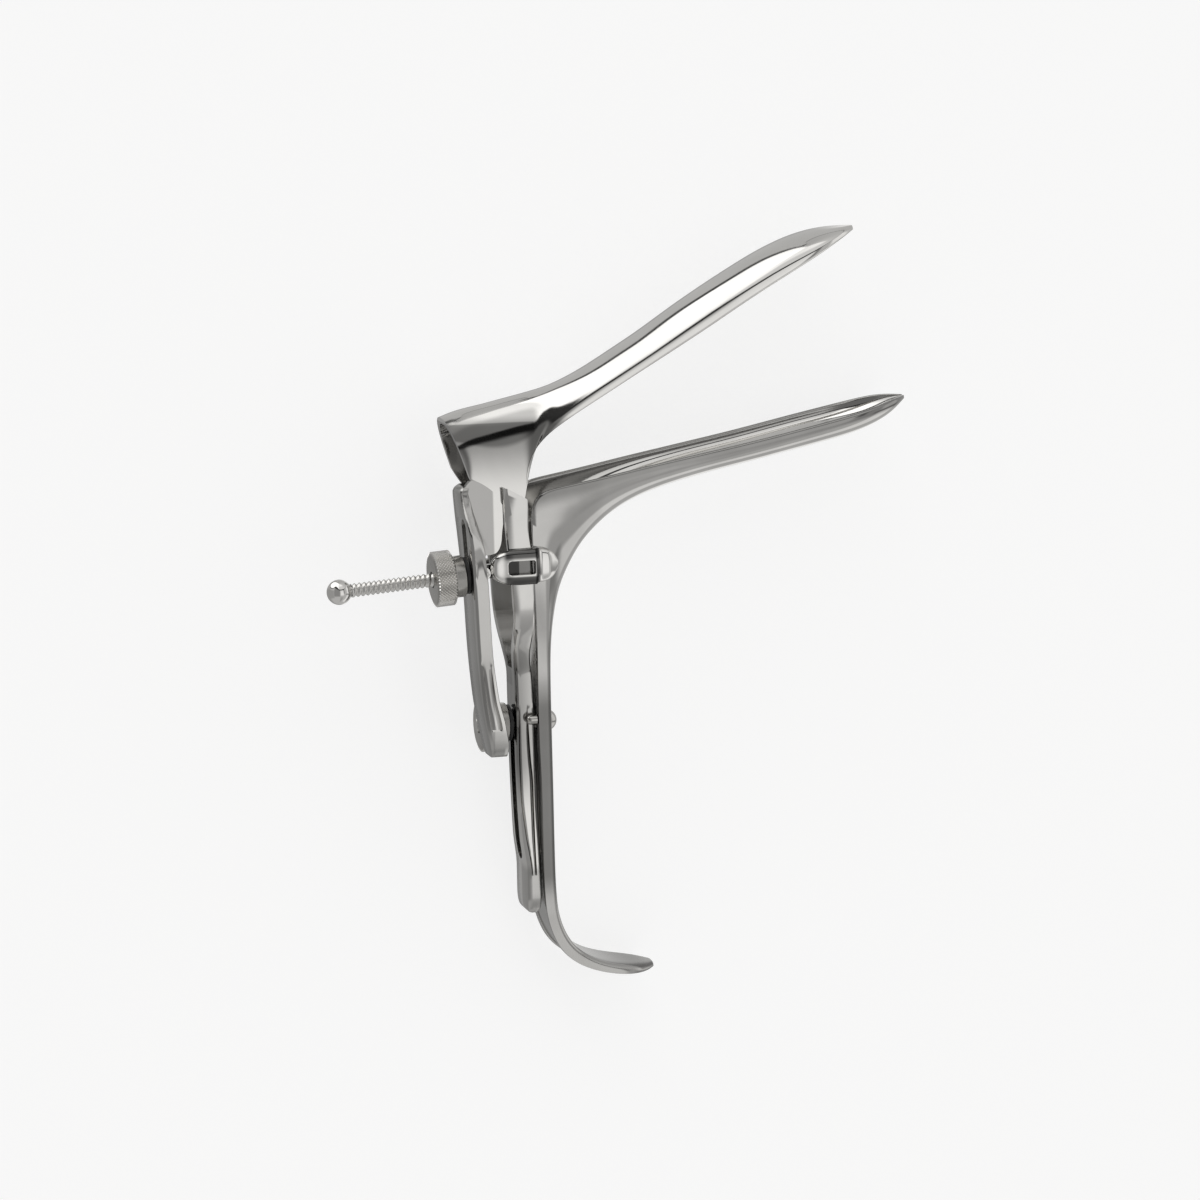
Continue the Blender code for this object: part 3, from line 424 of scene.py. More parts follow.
def handling_group():
    """Smears and fine polishing lines of handled steel, as masks from 0 to 1."""
    tree, start, end = group(
        "steel handling",
        [("Vector", "NodeSocketVector", (0.0, 0.0, 0.0)), ("Smear Scale", "NodeSocketFloat", 60.0),
         ("Line Scale", "NodeSocketFloat", 900.0)],
        [("Smears", "NodeSocketFloat"), ("Lines", "NodeSocketFloat")])
    given = start.outputs
    smear = node(tree, "ShaderNodeTexNoise", {
        "Vector": given["Vector"], "Scale": given["Smear Scale"], "Detail": 4.0, "Roughness": 0.55,
        "Distortion": 0.6})
    strong = node(tree, "ShaderNodeMapRange", {0: smear.outputs[0], "From Min": 0.35, "From Max": 0.75})
    stretch = node(tree, "ShaderNodeMapping", {
        "Vector": given["Vector"], "Scale": (0.06, 1.0, 1.0), "Rotation": (0.0, 0.0, 0.5)})
    lines = node(tree, "ShaderNodeTexNoise", {
        "Vector": stretch.outputs[0], "Scale": given["Line Scale"], "Detail": 3.0})
    feed(tree, end.inputs["Smears"], strong.outputs[0])
    feed(tree, end.inputs["Lines"], lines.outputs[0])
    return tree


def measured(tree, vector):
    """A vector's measure along each of the instrument's axes."""
    dots = [node(tree, "ShaderNodeVectorMath", {0: vector, 1: axis}, operation="DOT_PRODUCT")
            for axis in (FORWARD, UPWARD, ACROSS)]
    return [dot.outputs["Value"] for dot in dots]


def axes_group():
    """The instrument's own axes, in millimetres, from a piece's Object coordinates."""
    tree, start, end = group("instrument axes", [("Vector", "NodeSocketVector", (0.0, 0.0, 0.0))],
                             [("Vector", "NodeSocketVector")])
    place = node(tree, "ShaderNodeCombineXYZ")
    for i, share in enumerate(measured(tree, start.outputs["Vector"])):
        shifted = math_node(tree, "SUBTRACT", share, ORIGIN.dot((FORWARD, UPWARD, ACROSS)[i]))
        feed(tree, place.inputs[i], math_node(tree, "DIVIDE", shifted, MM))
    feed(tree, end.inputs["Vector"], place.outputs[0])
    return tree


def patch_group():
    """A soft-edged box as a mask from 0 to 1, where a painted reflection darkens the steel."""
    tree, start, end = group(
        "patch",
        [("Vector", "NodeSocketVector", (0.0, 0.0, 0.0)), ("Low", "NodeSocketVector", (0.0, 0.0, 0.0)),
         ("High", "NodeSocketVector", (1.0, 1.0, 1.0)), ("Low Softness", "NodeSocketFloat", 1.0),
         ("High Softness", "NodeSocketFloat", 1.0)],
        [("Mask", "NodeSocketFloat")])
    given = start.outputs
    mask = 1.0
    for first, second, softness in ((given["Vector"], given["Low"], given["Low Softness"]),
                                    (given["High"], given["Vector"], given["High Softness"])):
        apart = node(tree, "ShaderNodeVectorMath", {0: first, 1: second}, operation="SUBTRACT")
        half = math_node(tree, "MULTIPLY", softness, 0.5)
        less = math_node(tree, "MULTIPLY", half, -1.0)
        for part in node(tree, "ShaderNodeSeparateXYZ", {0: apart.outputs[0]}).outputs:
            mask = math_node(tree, "MULTIPLY", mask, ranged(tree, part, less, half, 0.0, 1.0))
    feed(tree, end.inputs["Mask"], mask)
    return tree


def steel(name, groups, colour, dull, rough, rough_smeared, bump, waves=None, patches=(), rim=None):
    """Stainless steel: colour where clean, dull where smeared, and its range of roughness.

    With waves = ((x, y, z) per millimetre, depth in millimetres) its polish is a little uneven. Each patch
    is ((x, y, z) low, (x, y, z) high, softness at the low and the high sides, tone, roughness): inside it
    the colour is multiplied by the tone, a painted reflection of darker surroundings, and the steel has
    that roughness, if one is given. With rim = ((x, y) keys) painted shade darkens the steel towards a
    blade's rim.
    """
    handling, axes, patch = groups
    material = bpy.data.materials.new(name)
    material.use_nodes = True
    tree = material.node_tree
    shader = tree.nodes["Principled BSDF"].inputs
    place = node(tree, "ShaderNodeTexCoord").outputs["Object"]
    wear = node(tree, "ShaderNodeGroup", node_tree=handling)
    feed(tree, wear.inputs["Vector"], place)
    smears = wear.outputs["Smears"]
    own = node(tree, "ShaderNodeGroup", node_tree=axes)
    feed(tree, own.inputs["Vector"], place)
    own = own.outputs["Vector"]
    colours = node(tree, "ShaderNodeMix", {"Factor": smears, "A": (*colour, 1.0), "B": (*dull, 1.0)},
                   data_type="RGBA")
    polish = node(tree, "ShaderNodeMapRange", {0: smears, "To Min": rough, "To Max": rough_smeared})
    roughness = polish.outputs[0]
    tone = 1.0
    # Each patch paints a reflection of darker surroundings into the colour; its roughness, if given, is the
    # steel's own
    for low, high, (low_softness, high_softness), painted_reflection_tone, patch_roughness in patches:
        box = node(tree, "ShaderNodeGroup", {
            "Vector": own, "Low": low, "High": high, "Low Softness": low_softness,
            "High Softness": high_softness}, node_tree=patch)
        mask = box.outputs["Mask"]
        tone = math_node(tree, "MULTIPLY", tone, ranged(tree, mask, 0.0, 1.0, 1.0, painted_reflection_tone, "LINEAR"))
        if patch_roughness:
            roughness = ranged(tree, mask, 0.0, 1.0, roughness, patch_roughness, "LINEAR")
    # Painted shade that darkens a blade's colour towards its rim
    if rim:
        along, up, _ = node(tree, "ShaderNodeSeparateXYZ", {0: own}).outputs
        below = math_node(tree, "SUBTRACT", up, drawn(tree, along, rim[0][0], rim[-1][0], rim))
        (rear_x, rear_reach), (front_x, front_reach) = RIM_SHADE_STARTS
        reach = ranged(tree, along, rear_x, front_x, rear_reach, front_reach)
        shade_tone = ranged(tree, below, reach, RIM_SHADE_END, 1.0, RIM_SHADE)
        tone = math_node(tree, "MULTIPLY", tone, shade_tone)
    toned = node(tree, "ShaderNodeVectorMath", {0: colours.outputs["Result"], "Scale": tone},
                 operation="SCALE")
    relief = {"Strength": bump, "Distance": LINE_DEPTH * MM, "Height": wear.outputs["Lines"]}
    if waves:
        stretch, depth = waves
        scaled = node(tree, "ShaderNodeVectorMath", {0: own, 1: stretch}, operation="MULTIPLY")
        ripple = node(tree, "ShaderNodeTexNoise", {
            "Vector": scaled.outputs[0], "Scale": 1.0, "Detail": 1.5})
        uneven = {"Strength": 1.0, "Distance": depth * MM, "Height": ripple.outputs[0]}
        relief["Normal"] = node(tree, "ShaderNodeBump", uneven).outputs[0]
    for key, value in (("Metallic", 1.0), ("Base Color", toned.outputs[0]), ("Roughness", roughness),
                       ("Normal", node(tree, "ShaderNodeBump", relief).outputs[0])):
        feed(tree, shader[key], value)
    return material


# Blades

def trough_ring(station, fine):
    """One closed section: outer curve, rounded rim, inner curve, rounded rim."""
    sx, sy, rx, ry, half, floor, side, square, bead = station
    spine, rim = Vector((sx, sy)), Vector((rx, ry))
    depth = (rim - spine).length
    way = (rim - spine) / depth
    points = []

    def put(z, a):
        mark = spine + way * a
        points.append((mark.x, mark.y, z))

    angles = [math.pi / 2 * k / fine for k in range(-fine, fine + 1)]
    turns = [math.pi * k / 8 for k in range(1, 8)]
    for angle in angles:
        s, c = math.sin(angle), max(math.cos(angle), 0.0)
        put(math.copysign(half * abs(s) ** square, s), depth * (1 - c ** square))
    for turn in turns:
        put(half - side / 2 + side / 2 * math.cos(turn), depth + bead * math.sin(turn))
    inner = half - side
    for angle in reversed(angles):
        s, c = math.sin(angle), max(math.cos(angle), 0.0)
        put(math.copysign(inner * abs(s) ** square, s), floor + (depth - floor) * (1 - c ** square))
    for turn in reversed(turns):
        put(-(half - side / 2 + side / 2 * math.cos(turn)), depth + bead * math.sin(turn))
    return points


def trough(stations, name, step=1.0, fine=22):
    """Lofts sections through stations of (spine, rim, half width, floor, side wall, squareness, bead)."""
    count = len(stations) - 1
    fields = [steady([(i, s[k]) for i, s in enumerate(stations)]) for k in range(2, 7)]
    spines = [s[0] for s in stations]
    rims = [s[1] for s in stations]
    rows = []
    for i in range(count):
        length = (Vector(spines[i + 1]) - Vector(spines[i])).length
        length = max(length, (Vector(rims[i + 1]) - Vector(rims[i])).length)
        parts = max(2, round(length / step))
        for k in range(parts):
            t = i + k / parts
            rows.append([*rounded(spines, t), *rounded(rims, t), *[f(t) for f in fields]])
    rows.append([*spines[-1], *rims[-1], *[f(count) for f in fields]])
    rows = softened(rows, step, RIM_SOFTENING)
    return loft([trough_ring(row, fine) for row in rows], name)


def lower_stations():
    w, t = BLADE_HALF_WIDTH, BLADE_WALL
    flange = FLANGE_HALF_WIDTH
    bar, thick = HANDLE_HALF_WIDTH, HANDLE_THICK
    front = HANDLE_FRONT_X
    back = front - thick
    bead = t / 2
    return [
        ((105.28, 38.6), (105.08, 39.6), 1.3, 1.0, 1.0, 0.90, 0.25),
        ((103.3, 37.2), (102.9, 39.4), 0.42 * w, 1.8, TIP_EDGE, 0.90, 0.5),
        ((99.8, 34.8), (99.2, 38.6), 0.68 * w, 1.9, TIP_EDGE, 0.88, 0.8),
        ((94.4, 32.2), (93.5, 37.2), 0.87 * w, 1.7, TIP_EDGE, 0.86, 0.8),
        ((87.0, 29.9), (85.9, 35.6), 0.97 * w, 1.6, t + 0.2, 0.84, bead),
        ((76.0, 27.6), (74.8, 33.4), w, t, t, 0.82, bead),
        ((60.0, 24.4), (58.8, 30.3), 0.98 * w, t, t, 0.80, bead),
        ((44.0, 21.3), (42.6, 27.5), 0.96 * w, t, t, 0.80, bead),
        ((30.0, 17.6), (27.9, 25.0), 0.94 * w, t, t, 0.80, bead),
        ((20.6, 13.2), (15.7, 22.8), flange + 0.45, t, t, 0.80, bead),
        ((13.5, 7.3), (4.5, 21.0), flange + 0.2, t, t, 0.78, bead),
        ((10.5, 3.7), (-0.9, 20.1), flange, t, t, 0.76, bead),
        ((8.9, 1.3), (-3.9, 18.0), flange, t, t, 0.74, bead),
        ((6.7, -2.4), (-4.7, 11.0), flange, t + 0.1, t, 0.72, 0.2),
        ((4.5, -6.7), (-4.5, 3.0), flange, t + 0.4, t, 0.68, 0.2),
        ((2.9, -11.5), (-4.3, -5.0), 10.6, t + 1.0, t + 0.3, 0.60, 0.15),
        ((1.6, -17.5), (-3.8, -13.5), 9.7, t + 2.4, t + 1.2, 0.48, 0.1),
        ((0.8, -25.0), (back, -24.0), bar + 0.3, thick, 2.6, 0.34, 0.1),
        ((front, -34.0), (back, -34.0), bar, thick - 0.1, 2.6, 0.26, 0.1),
        ((front, -48.0), (back, -48.0), bar, thick - 0.1, 2.6, 0.26, 0.1),
        ((front, -62.0), (back + 0.35, -62.0), bar, thick - 0.45, 2.6, 0.26, 0.1),
        ((front + 0.1, -90.0), (back + 0.45, -90.0), bar, thick - 0.5, 2.6, 0.26, 0.1),
        ((1.7, -99.4), (-1.8, -100.7), bar, thick - 0.6, 2.5, 0.28, 0.1),
        ((4.6, -106.0), (1.7, -108.5), bar + 0.2, 3.2, 2.4, 0.30, 0.1),
        ((8.9, -110.0), (7.1, -112.8), bar + 0.7, 2.75, 2.4, 0.34, 0.1),
        ((14.6, -112.4), (13.7, -115.1), bar + 1.3, 2.6, 2.3, 0.40, 0.1),
        ((20.6, -113.6), (20.2, -116.2), bar + 1.3, 2.5, 2.2, 0.50, 0.1),
        ((25.0, -114.1), (24.9, -116.3), 0.94 * bar, 2.1, 1.9, 0.60, 0.1),
        ((27.6, -114.4), (27.6, -116.2), 0.76 * bar, 1.7, 1.5, 0.70, 0.1),
        ((28.9, -114.8), (28.9, -116.0), 0.40 * bar, 1.1, 0.9, 0.80, 0.05),
    ]


def upper_stations():
    w, t = BLADE_HALF_WIDTH, BLADE_WALL
    flange = FLANGE_HALF_WIDTH
    low = HINGE_Y - EAR_RADIUS
    bead = t / 2
    return [
        ((-26.9, 40.8), (-21.8, 25.4), flange + 0.2, 1.9, 1.7, 0.80, 0.3),
        ((-22.5, 42.5), (-19.2, 20.9), flange, t, t, 0.80, 0.2),
        ((-16.0, 43.6), (-14.2, low + 2.0), flange, t, t, 0.80, 0.2),
        ((-11.0, 44.7), (-10.4, low + 0.1), flange, t, t, 0.80, 0.2),
        ((-5.0, 45.9), (-7.2, low + 2.0), flange, t, t, 0.80, 0.2),
        ((-0.6, 46.8), (-6.2, 20.4), flange, t, t, 0.80, 0.3),
        ((3.4, 47.8), (-6.0, 25.9), flange, t, t, 0.80, 0.5),
        ((7.2, 49.1), (-4.2, 31.2), flange + 0.1, t, t, 0.80, bead),
        ((12.0, 51.1), (-0.2, 35.9), flange + 0.3, t, t, 0.80, bead),
        ((17.2, 53.7), (6.4, 40.4), flange + 0.5, t, t, 0.80, bead),
        ((23.6, 57.4), (18.6, 47.6), 0.95 * w, t, t, 0.82, bead),
        ((31.0, 61.8), (31.6, 55.3), 0.96 * w, t, t, 0.84, bead),
        ((41.8, 68.8), (45.2, 63.2), 0.98 * w, t, t, 0.84, bead),
        ((53.4, 75.6), (56.8, 70.2), w, t, t, 0.84, bead),
        ((65.0, 81.9), (68.3, 76.6), 0.99 * w, 1.6, t + 0.2, 0.86, bead),
        ((74.4, 85.7), (77.0, 81.2), 0.92 * w, 1.8, TIP_EDGE, 0.88, 0.8),
        ((82.0, 87.4), (83.2, 84.3), 0.74 * w, 1.9, TIP_EDGE, 0.88, 0.7),
        ((87.4, 87.8), (87.7, 85.9), 0.46 * w, 1.6, 1.7, 0.90, 0.5),
        ((90.8, 87.7), (90.8, 86.6), 1.5, 1.0, 1.0, 0.90, 0.2),
    ]


def make_lower_blade(material):
    item = trough(lower_stations(), "lower_blade_polished")
    drill(item, SCREW_RADIUS + FIT_GAP, -8.0, 4.0, (1, 0, 0), SCREW_SPOT)
    shade(item.data, 35.0)
    fit(item, material, "lower", "polished_steel", "lower_blade")


def make_upper_blade(material):
    item = trough(upper_stations(), "upper_blade_polished")
    reach = FLANGE_HALF_WIDTH + 2.0
    drill(item, HINGE_PIN_RADIUS + FIT_GAP, -reach, reach, (0, 0, 1), HINGE_SPOT)
    shade(item.data, 35.0)
    fit(item, material, "upper", "polished_steel", "upper_blade")


# Frame

# The rear and the front edge of the frame at each height

REAR_X = steady([(-97.7, -6.1), (-97.3, -6.7), (-96.4, -7.2), (-94.5, -7.4), (-86.0, -7.4), (-76.0, -8.4),
                 (-64.0, -8.9), (-54.0, -9.1), (-32.0, -9.2), (-20.0, -10.5), (-8.0, -11.0), (6.0, -12.2),
                 (14.0, -12.8), (22.0, -13.0)])
FRONT_X = steady([(-97.7, -4.4), (-97.2, -3.95), (-96.3, -3.6), (-94.5, -3.5), (-62.0, -3.6),
                  (-54.0, -3.95), (-38.0, -4.0), (-30.0, -4.5), (-24.0, -5.15), (-14.0, -5.2),
                  (-5.0, -5.25), (4.0, -5.7), (10.6, -6.4), (19.0, -6.3), (22.0, -6.3)])


def arm_ring(centre_y, centre_z, lean, thick, top_drop=0.0):
    """A section of the arm, flat inside and ridged outside, square to the arm's own line."""
    rear, front = REAR_X(centre_y), FRONT_X(centre_y)
    across = Vector((0.0, math.sin(lean), math.cos(lean)))
    ridge = rear + (front - rear) * steady([(-20.0, 0.34), (4.0, 0.48), (22.0, 0.14)])(centre_y)
    half = thick / 2
    outline = [
        (rear + 0.25, -half), (front - 0.25, -half), (front, -half + 0.25), (front, half - 0.55),
        (front - 0.35, half - 0.25), (ridge, half), (rear + 0.3, half - 0.45), (rear, half - 0.75),
        (rear, -half + 0.25),
    ]
    ring = []
    for x, offset in outline:
        share = max(0.0, (x - rear) / (front - rear) - 0.35) / 0.65
        mark = Vector((x, centre_y - top_drop * share ** 1.6, centre_z)) + across * offset
        ring.append(tuple(mark))
    return ring


def arm_path():
    """The arm's middle line in Y and Z, from its top to where it is buried in the handle."""
    middle = UPRIGHT_OUTER - UPRIGHT_THICK / 2
    marks = ((22.3, 0.0), (12.0, 0.0), (2.0, 0.0), (-6.0, 0.0), (-11.5, 0.1), (-16.2, 1.4), (-20.2, 3.9),
             (-24.0, 6.6), (-29.0, 8.5), (-35.5, 9.0), (-40.0, 9.1))
    return [(y, middle - inset) for y, inset in marks]


def make_arm(side):
    points = arm_path()
    count = len(points) - 1
    thickness = steady([(0, UPRIGHT_THICK), (6, UPRIGHT_THICK), (8, UPRIGHT_THICK + 0.8),
                        (count, UPRIGHT_THICK + 0.6)])
    rings = []
    fine = 10
    for k in range(count * fine + 1):
        t = k / fine
        last = count - 1e-6
        mark = rounded(points, min(t, last))
        ahead = rounded(points, min(t + 0.02, last)) - rounded(points, max(t - 0.02, 0.0))
        lean = math.atan2(-ahead.y, -ahead.x)
        drop = max(0.0, ARM_TOP_DROP - ARM_DROP_LOSS * t)
        rings.append([(x, y, side * z) for x, y, z in arm_ring(mark.x, mark.y, -lean, thickness(t), drop)])
    return loft(rings, "arm")


# The frame's handle at each height: half its width, how deep its flutes are as a share of their full depth,
# and how far the flutes keep from its rear and its front edge

GRIP_HALF = steady([(-98.2, GRIP_END_HALF_WIDTH - 3.6), (-97.4, GRIP_END_HALF_WIDTH - 2.0),
                    (-95.8, GRIP_END_HALF_WIDTH - 0.7), (-93.0, GRIP_END_HALF_WIDTH),
                    (-86.0, GRIP_END_HALF_WIDTH - 0.1), (-66.0, GRIP_HALF_WIDTH), (-38.0, GRIP_HALF_WIDTH),
                    (-29.0, GRIP_HALF_WIDTH - 0.2)])
FLUTE_SHARE = steady([(FLUTE_END_Y, 0.0), (FLUTE_END_Y + 0.3, 1.0), (-50.0, 0.9), (FLUTE_TOP_Y, 0.0)])
REAR_LIP = steady([(-86.6, 1.5), (-80.0, 1.4), (-72.0, 1.0), (-64.0, 0.6), (-50.0, 0.7), (-40.0, 1.0)])
FRONT_LIP = steady([(-86.6, 1.3), (-78.0, 1.4), (-68.0, 1.3), (-60.0, 1.3), (-50.0, 1.7), (-42.0, 2.0)])
# The tongue in a flute: how high it stands at each share of its width
TONGUE = ((0.03, 0.55), (0.08, 0.85), (0.15, 0.96), (0.28, 1.0), (0.45, 0.995), (0.60, 0.975), (0.72, 0.94),
          (0.84, 0.86), (0.93, 0.70), (0.98, 0.40))


def grip_ring(y):
    """A section of the frame's handle, with a flute in each side that holds a rounded tongue."""
    rear, front, half = REAR_X(y), FRONT_X(y), GRIP_HALF(y)
    deep = FLUTE_DEPTH * FLUTE_SHARE(y)
    left, right = rear + REAR_LIP(y), front - FRONT_LIP(y)
    side = [(rear, half - 0.7), (rear + 0.18, half - 0.3), (left - 0.2, half), (left, half - deep)]
    side += [(left + (right - left) * share, half - deep * (1 - 0.78 * level)) for share, level in TONGUE]
    side += [(right, half - deep), (right + 0.15, half), (front - 0.3, half - 0.08), (front, half - 0.4)]
    return [(x, y, z) for x, z in side] + [(x, y, -z) for x, z in reversed(side)]


def make_grip():
    rows = [GRIP_BOTTOM_Y, GRIP_BOTTOM_Y + 0.2, GRIP_BOTTOM_Y + 0.4, -97.0, -96.6, -96.2, -95.6, -95.0,
            -94.0, -93.0, -91.5, -90.0, -88.0, FLUTE_END_Y - 0.1, FLUTE_END_Y + 0.35]
    rows += climb(FLUTE_END_Y + 1.3, GRIP_TOP_Y - 1.0, 1.3) + [GRIP_TOP_Y]
    return loft([grip_ring(y) for y in rows], "frame_polished")


def slot_outline(low, high, width, steps=16):
    """A long hole with round ends, as (along, across) points."""
    radius = width / 2
    outline = []
    for k in range(steps + 1):
        a = math.pi * k / steps
        outline.append((high - radius + radius * math.sin(a), radius * math.cos(a)))
    for k in range(steps + 1):
        a = math.pi * k / steps
        outline.append((low + radius - radius * math.sin(a), -radius * math.cos(a)))
    return outline


def lug_outline():
    """The ear on the near upright that carries the rod, as (x, y) points."""
    radius = PIVOT_HEAD_RADIUS + 0.35
    outline = [(-9.0, ROD_PIVOT_Y - 4.0), (-9.0, ROD_PIVOT_Y + 4.0), (-12.4, ROD_PIVOT_Y + 2.9),
               (-15.0, ROD_PIVOT_Y + radius)]
    for k in range(17):
        a = math.pi / 2 + math.pi * k / 16
        outline.append((ROD_PIVOT_X + radius * math.cos(a), ROD_PIVOT_Y + radius * math.sin(a)))
    outline += [(-15.0, ROD_PIVOT_Y - radius), (-12.4, ROD_PIVOT_Y - 2.9)]
    return outline


def make_frame(material):
    item = make_grip()
    for side in (1, -1):
        combine(item, make_arm(side), "UNION")
    combine(item, prism(lug_outline(), LUG_INNER, LUG_OUTER, "lug"), "UNION")
    slot = slot_outline(SLOT_BOTTOM_Y, SCREW_Y + SCREW_RADIUS + RUN_GAP + 0.2, SLOT_WIDTH)
    combine(item, prism(slot, -20.0, 0.0, "slot", axis="X"), "DIFFERENCE")
    drill(item, PIVOT_PIN_RADIUS + FIT_GAP, LUG_INNER - 1, LUG_OUTER + 1, (0, 0, 1),
          (ROD_PIVOT_X, ROD_PIVOT_Y, 0.0), 32)
    for side in (1, -1):
        drill(item, HINGE_PIN_RADIUS + FIT_GAP, UPRIGHT_INNER - 1.0, UPRIGHT_INNER + HINGE_BLIND + FIT_GAP,
              (0, 0, side), HINGE_SPOT, 32)
    shade(item.data, 30.0)
    fit(item, material, "frame", "satin_steel", "frame")


# Lever

# At each height: the lever's rear face, its depth forward, its near and its far side, and how far the
# front of the near side leans in

LEVER_REAR = steady([(-51.0, -19.4), (-46.0, -20.3), (-41.0, -21.2), (-34.0, -22.2), (-20.0, -23.3),
                     (-7.0, -23.8), (0.0, -24.1), (9.0, -24.6), (18.0, -25.2), (21.6, -25.4), (22.8, -24.9),
                     (23.5, -24.0)])
LEVER_DEPTH = steady([(-51.0, 4.4), (-46.0, 5.3), (-41.0, 5.3), (-34.0, 4.6), (-20.0, 4.1), (0.0, 4.1),
                      (8.0, 4.2), (16.0, 3.2), (23.5, 2.2)])
LEVER_NEAR = steady([(-51.0, 17.0), (-49.0, 19.0), (-46.0, 20.2), (-41.0, 20.8), (-30.0, 21.3), (0.0, 21.8),
                     (9.0, 21.4), (14.0, 19.4), (18.0, 16.2), (21.0, 14.2), (22.6, 13.7), (23.5, 12.6)])
LEVER_FAR = steady([(-51.0, 11.5), (-49.0, 9.6), (-46.0, 8.6), (-41.0, 8.3), (-20.0, 8.1), (-5.0, 7.8),
                    (4.0, 6.6), (10.0, 5.8), (18.0, 5.0), (21.0, 5.0), (23.5, 6.4)])
LEVER_LEAN = steady([(-2.0, 0.0), (6.0, 1.2), (12.0, 3.2), (16.0, 2.4), (20.0, 0.4), (23.5, 0.1)])
# How full the lever is between its flanges, and how deep the flute in its thumb pad is
LEVER_FULL = steady([(LEVER_HOLLOW_END_Y - 2.5, 1.0), (LEVER_HOLLOW_END_Y, 0.0), (16.0, 0.0), (20.0, 1.0)])
LEVER_FLUTE = steady([(-42.6, 0.0), (-42.3, 1.0), (-30.0, 0.8), (-22.5, 0.0)])


def lever_ring(y):
    """A section of the lever: rear web, a flange down each side and a flute in the near flange."""
    rear, depth = LEVER_REAR(y), LEVER_DEPTH(y)
    front = rear + depth
    near, far, lean = LEVER_NEAR(y), LEVER_FAR(y), LEVER_LEAN(y)
    wall = LEVER_WALL
    web = wall + (depth - wall - 0.02) * LEVER_FULL(y)
    flute = 0.65 * LEVER_FLUTE(y)
    pad = ((0.22, 0.0, 0.0), (0.26, 1.0, 0.22), (0.38, 0.5, 0.36), (0.5, 0.35, 0.5), (0.62, 0.5, 0.62),
           (0.74, 1.0, 0.74), (0.8, 0.0, 0.8))
    side = [(rear, far + 0.5), (rear, near - 0.5), (rear + 0.1, near - 0.22), (rear + 0.3, near - 0.1)]
    side += [(rear + depth * share, near - deep * flute - leant * lean) for share, deep, leant in pad]
    side += [(front - 0.2, near - lean - 0.05), (front, near - lean - 0.4), (front, near - lean - wall),
             (rear + web, near - lean - wall - 0.3), (rear + web, far + wall + 0.3), (front, far + wall),
             (front, far + 0.4), (front - 0.3, far), (rear + 0.3, far + 0.1), (rear + 0.1, far + 0.25)]
    return [(x, y, z) for x, z in side]


def root_outline():
    """The plate between the lever and the hinge, as (x, y) points: an arc above and an arc below."""
    stop = REAR_X(HINGE_Y) - 0.5
    below = [(-24.0, 4.2), (-21.0, 4.3), (-19.0, 4.4), (-17.0, 4.5), (-15.2, 5.2), (-14.1, 7.4),
             (-13.7, 10.8)]
    above = [(stop - 0.05, 17.9), (-14.3, 19.5), (-15.8, 21.5), (-17.8, 23.2), (-20.0, 24.5),
             (-22.0, 25.0), (-24.3, 22.5)]

    def curve(marks):
        return [tuple(rounded(marks, k / 4)) for k in range((len(marks) - 1) * 4 + 1)]

    return curve(below) + [(stop, 12.6)] + curve(above)


def make_lever(material):
    rows = [LEVER_BOTTOM_Y, -50.1, -49.9, -49.6, -49.2, -48.7, -48.2, -47.5, -46.7, -46.0, -45.0, -43.4,
            -42.7, -42.25, -41.5, -40.4]
    rows += climb(-39.4, 22.0, 1.0) + [22.3, 22.8, 23.2, 23.5]
    item = loft([lever_ring(y) for y in rows], "thumb_lever_polished")
    combine(item, prism(root_outline(), UPRIGHT_INNER, UPRIGHT_INNER + ROOT_PLATE_THICK, "root"), "UNION")
    slot = slot_outline(LEVER_SLOT_BOTTOM_Y, LEVER_SLOT_TOP_Y, LEVER_SLOT_WIDTH)
    slot = [(y, z + ROD_Z) for y, z in slot]
    combine(item, prism(slot, -28.0, -22.0, "lever_slot", axis="X"), "DIFFERENCE")
    shade(item.data, 30.0)
    fit(item, material, "upper", "polished_steel", "thumb_lever")


# Keepers

KEEPER_REACH = 6.8
KEEPER_LEFT_X = -17.6
KEEPER_ROUNDNESS = 0.55
# The window's rounded rear corners, its cut front corners, and how far in a rear corner's middle lies
KEEPER_WINDOW_CORNERS = (0.9, 0.4, 0.27)


def keeper_ring(x, low, high, half):
    """A section of the keeper: flat below, rounded over at both edges."""
    steps = 24
    ring = []
    for k in range(steps + 1):
        a = math.pi * k / steps
        c, s = math.cos(a), max(math.sin(a), 0.0)
        ring.append((x, KEEPER_Y + half * math.copysign(abs(c) ** KEEPER_ROUNDNESS, c),
                     low + (high - low) * s ** KEEPER_ROUNDNESS))
    return ring


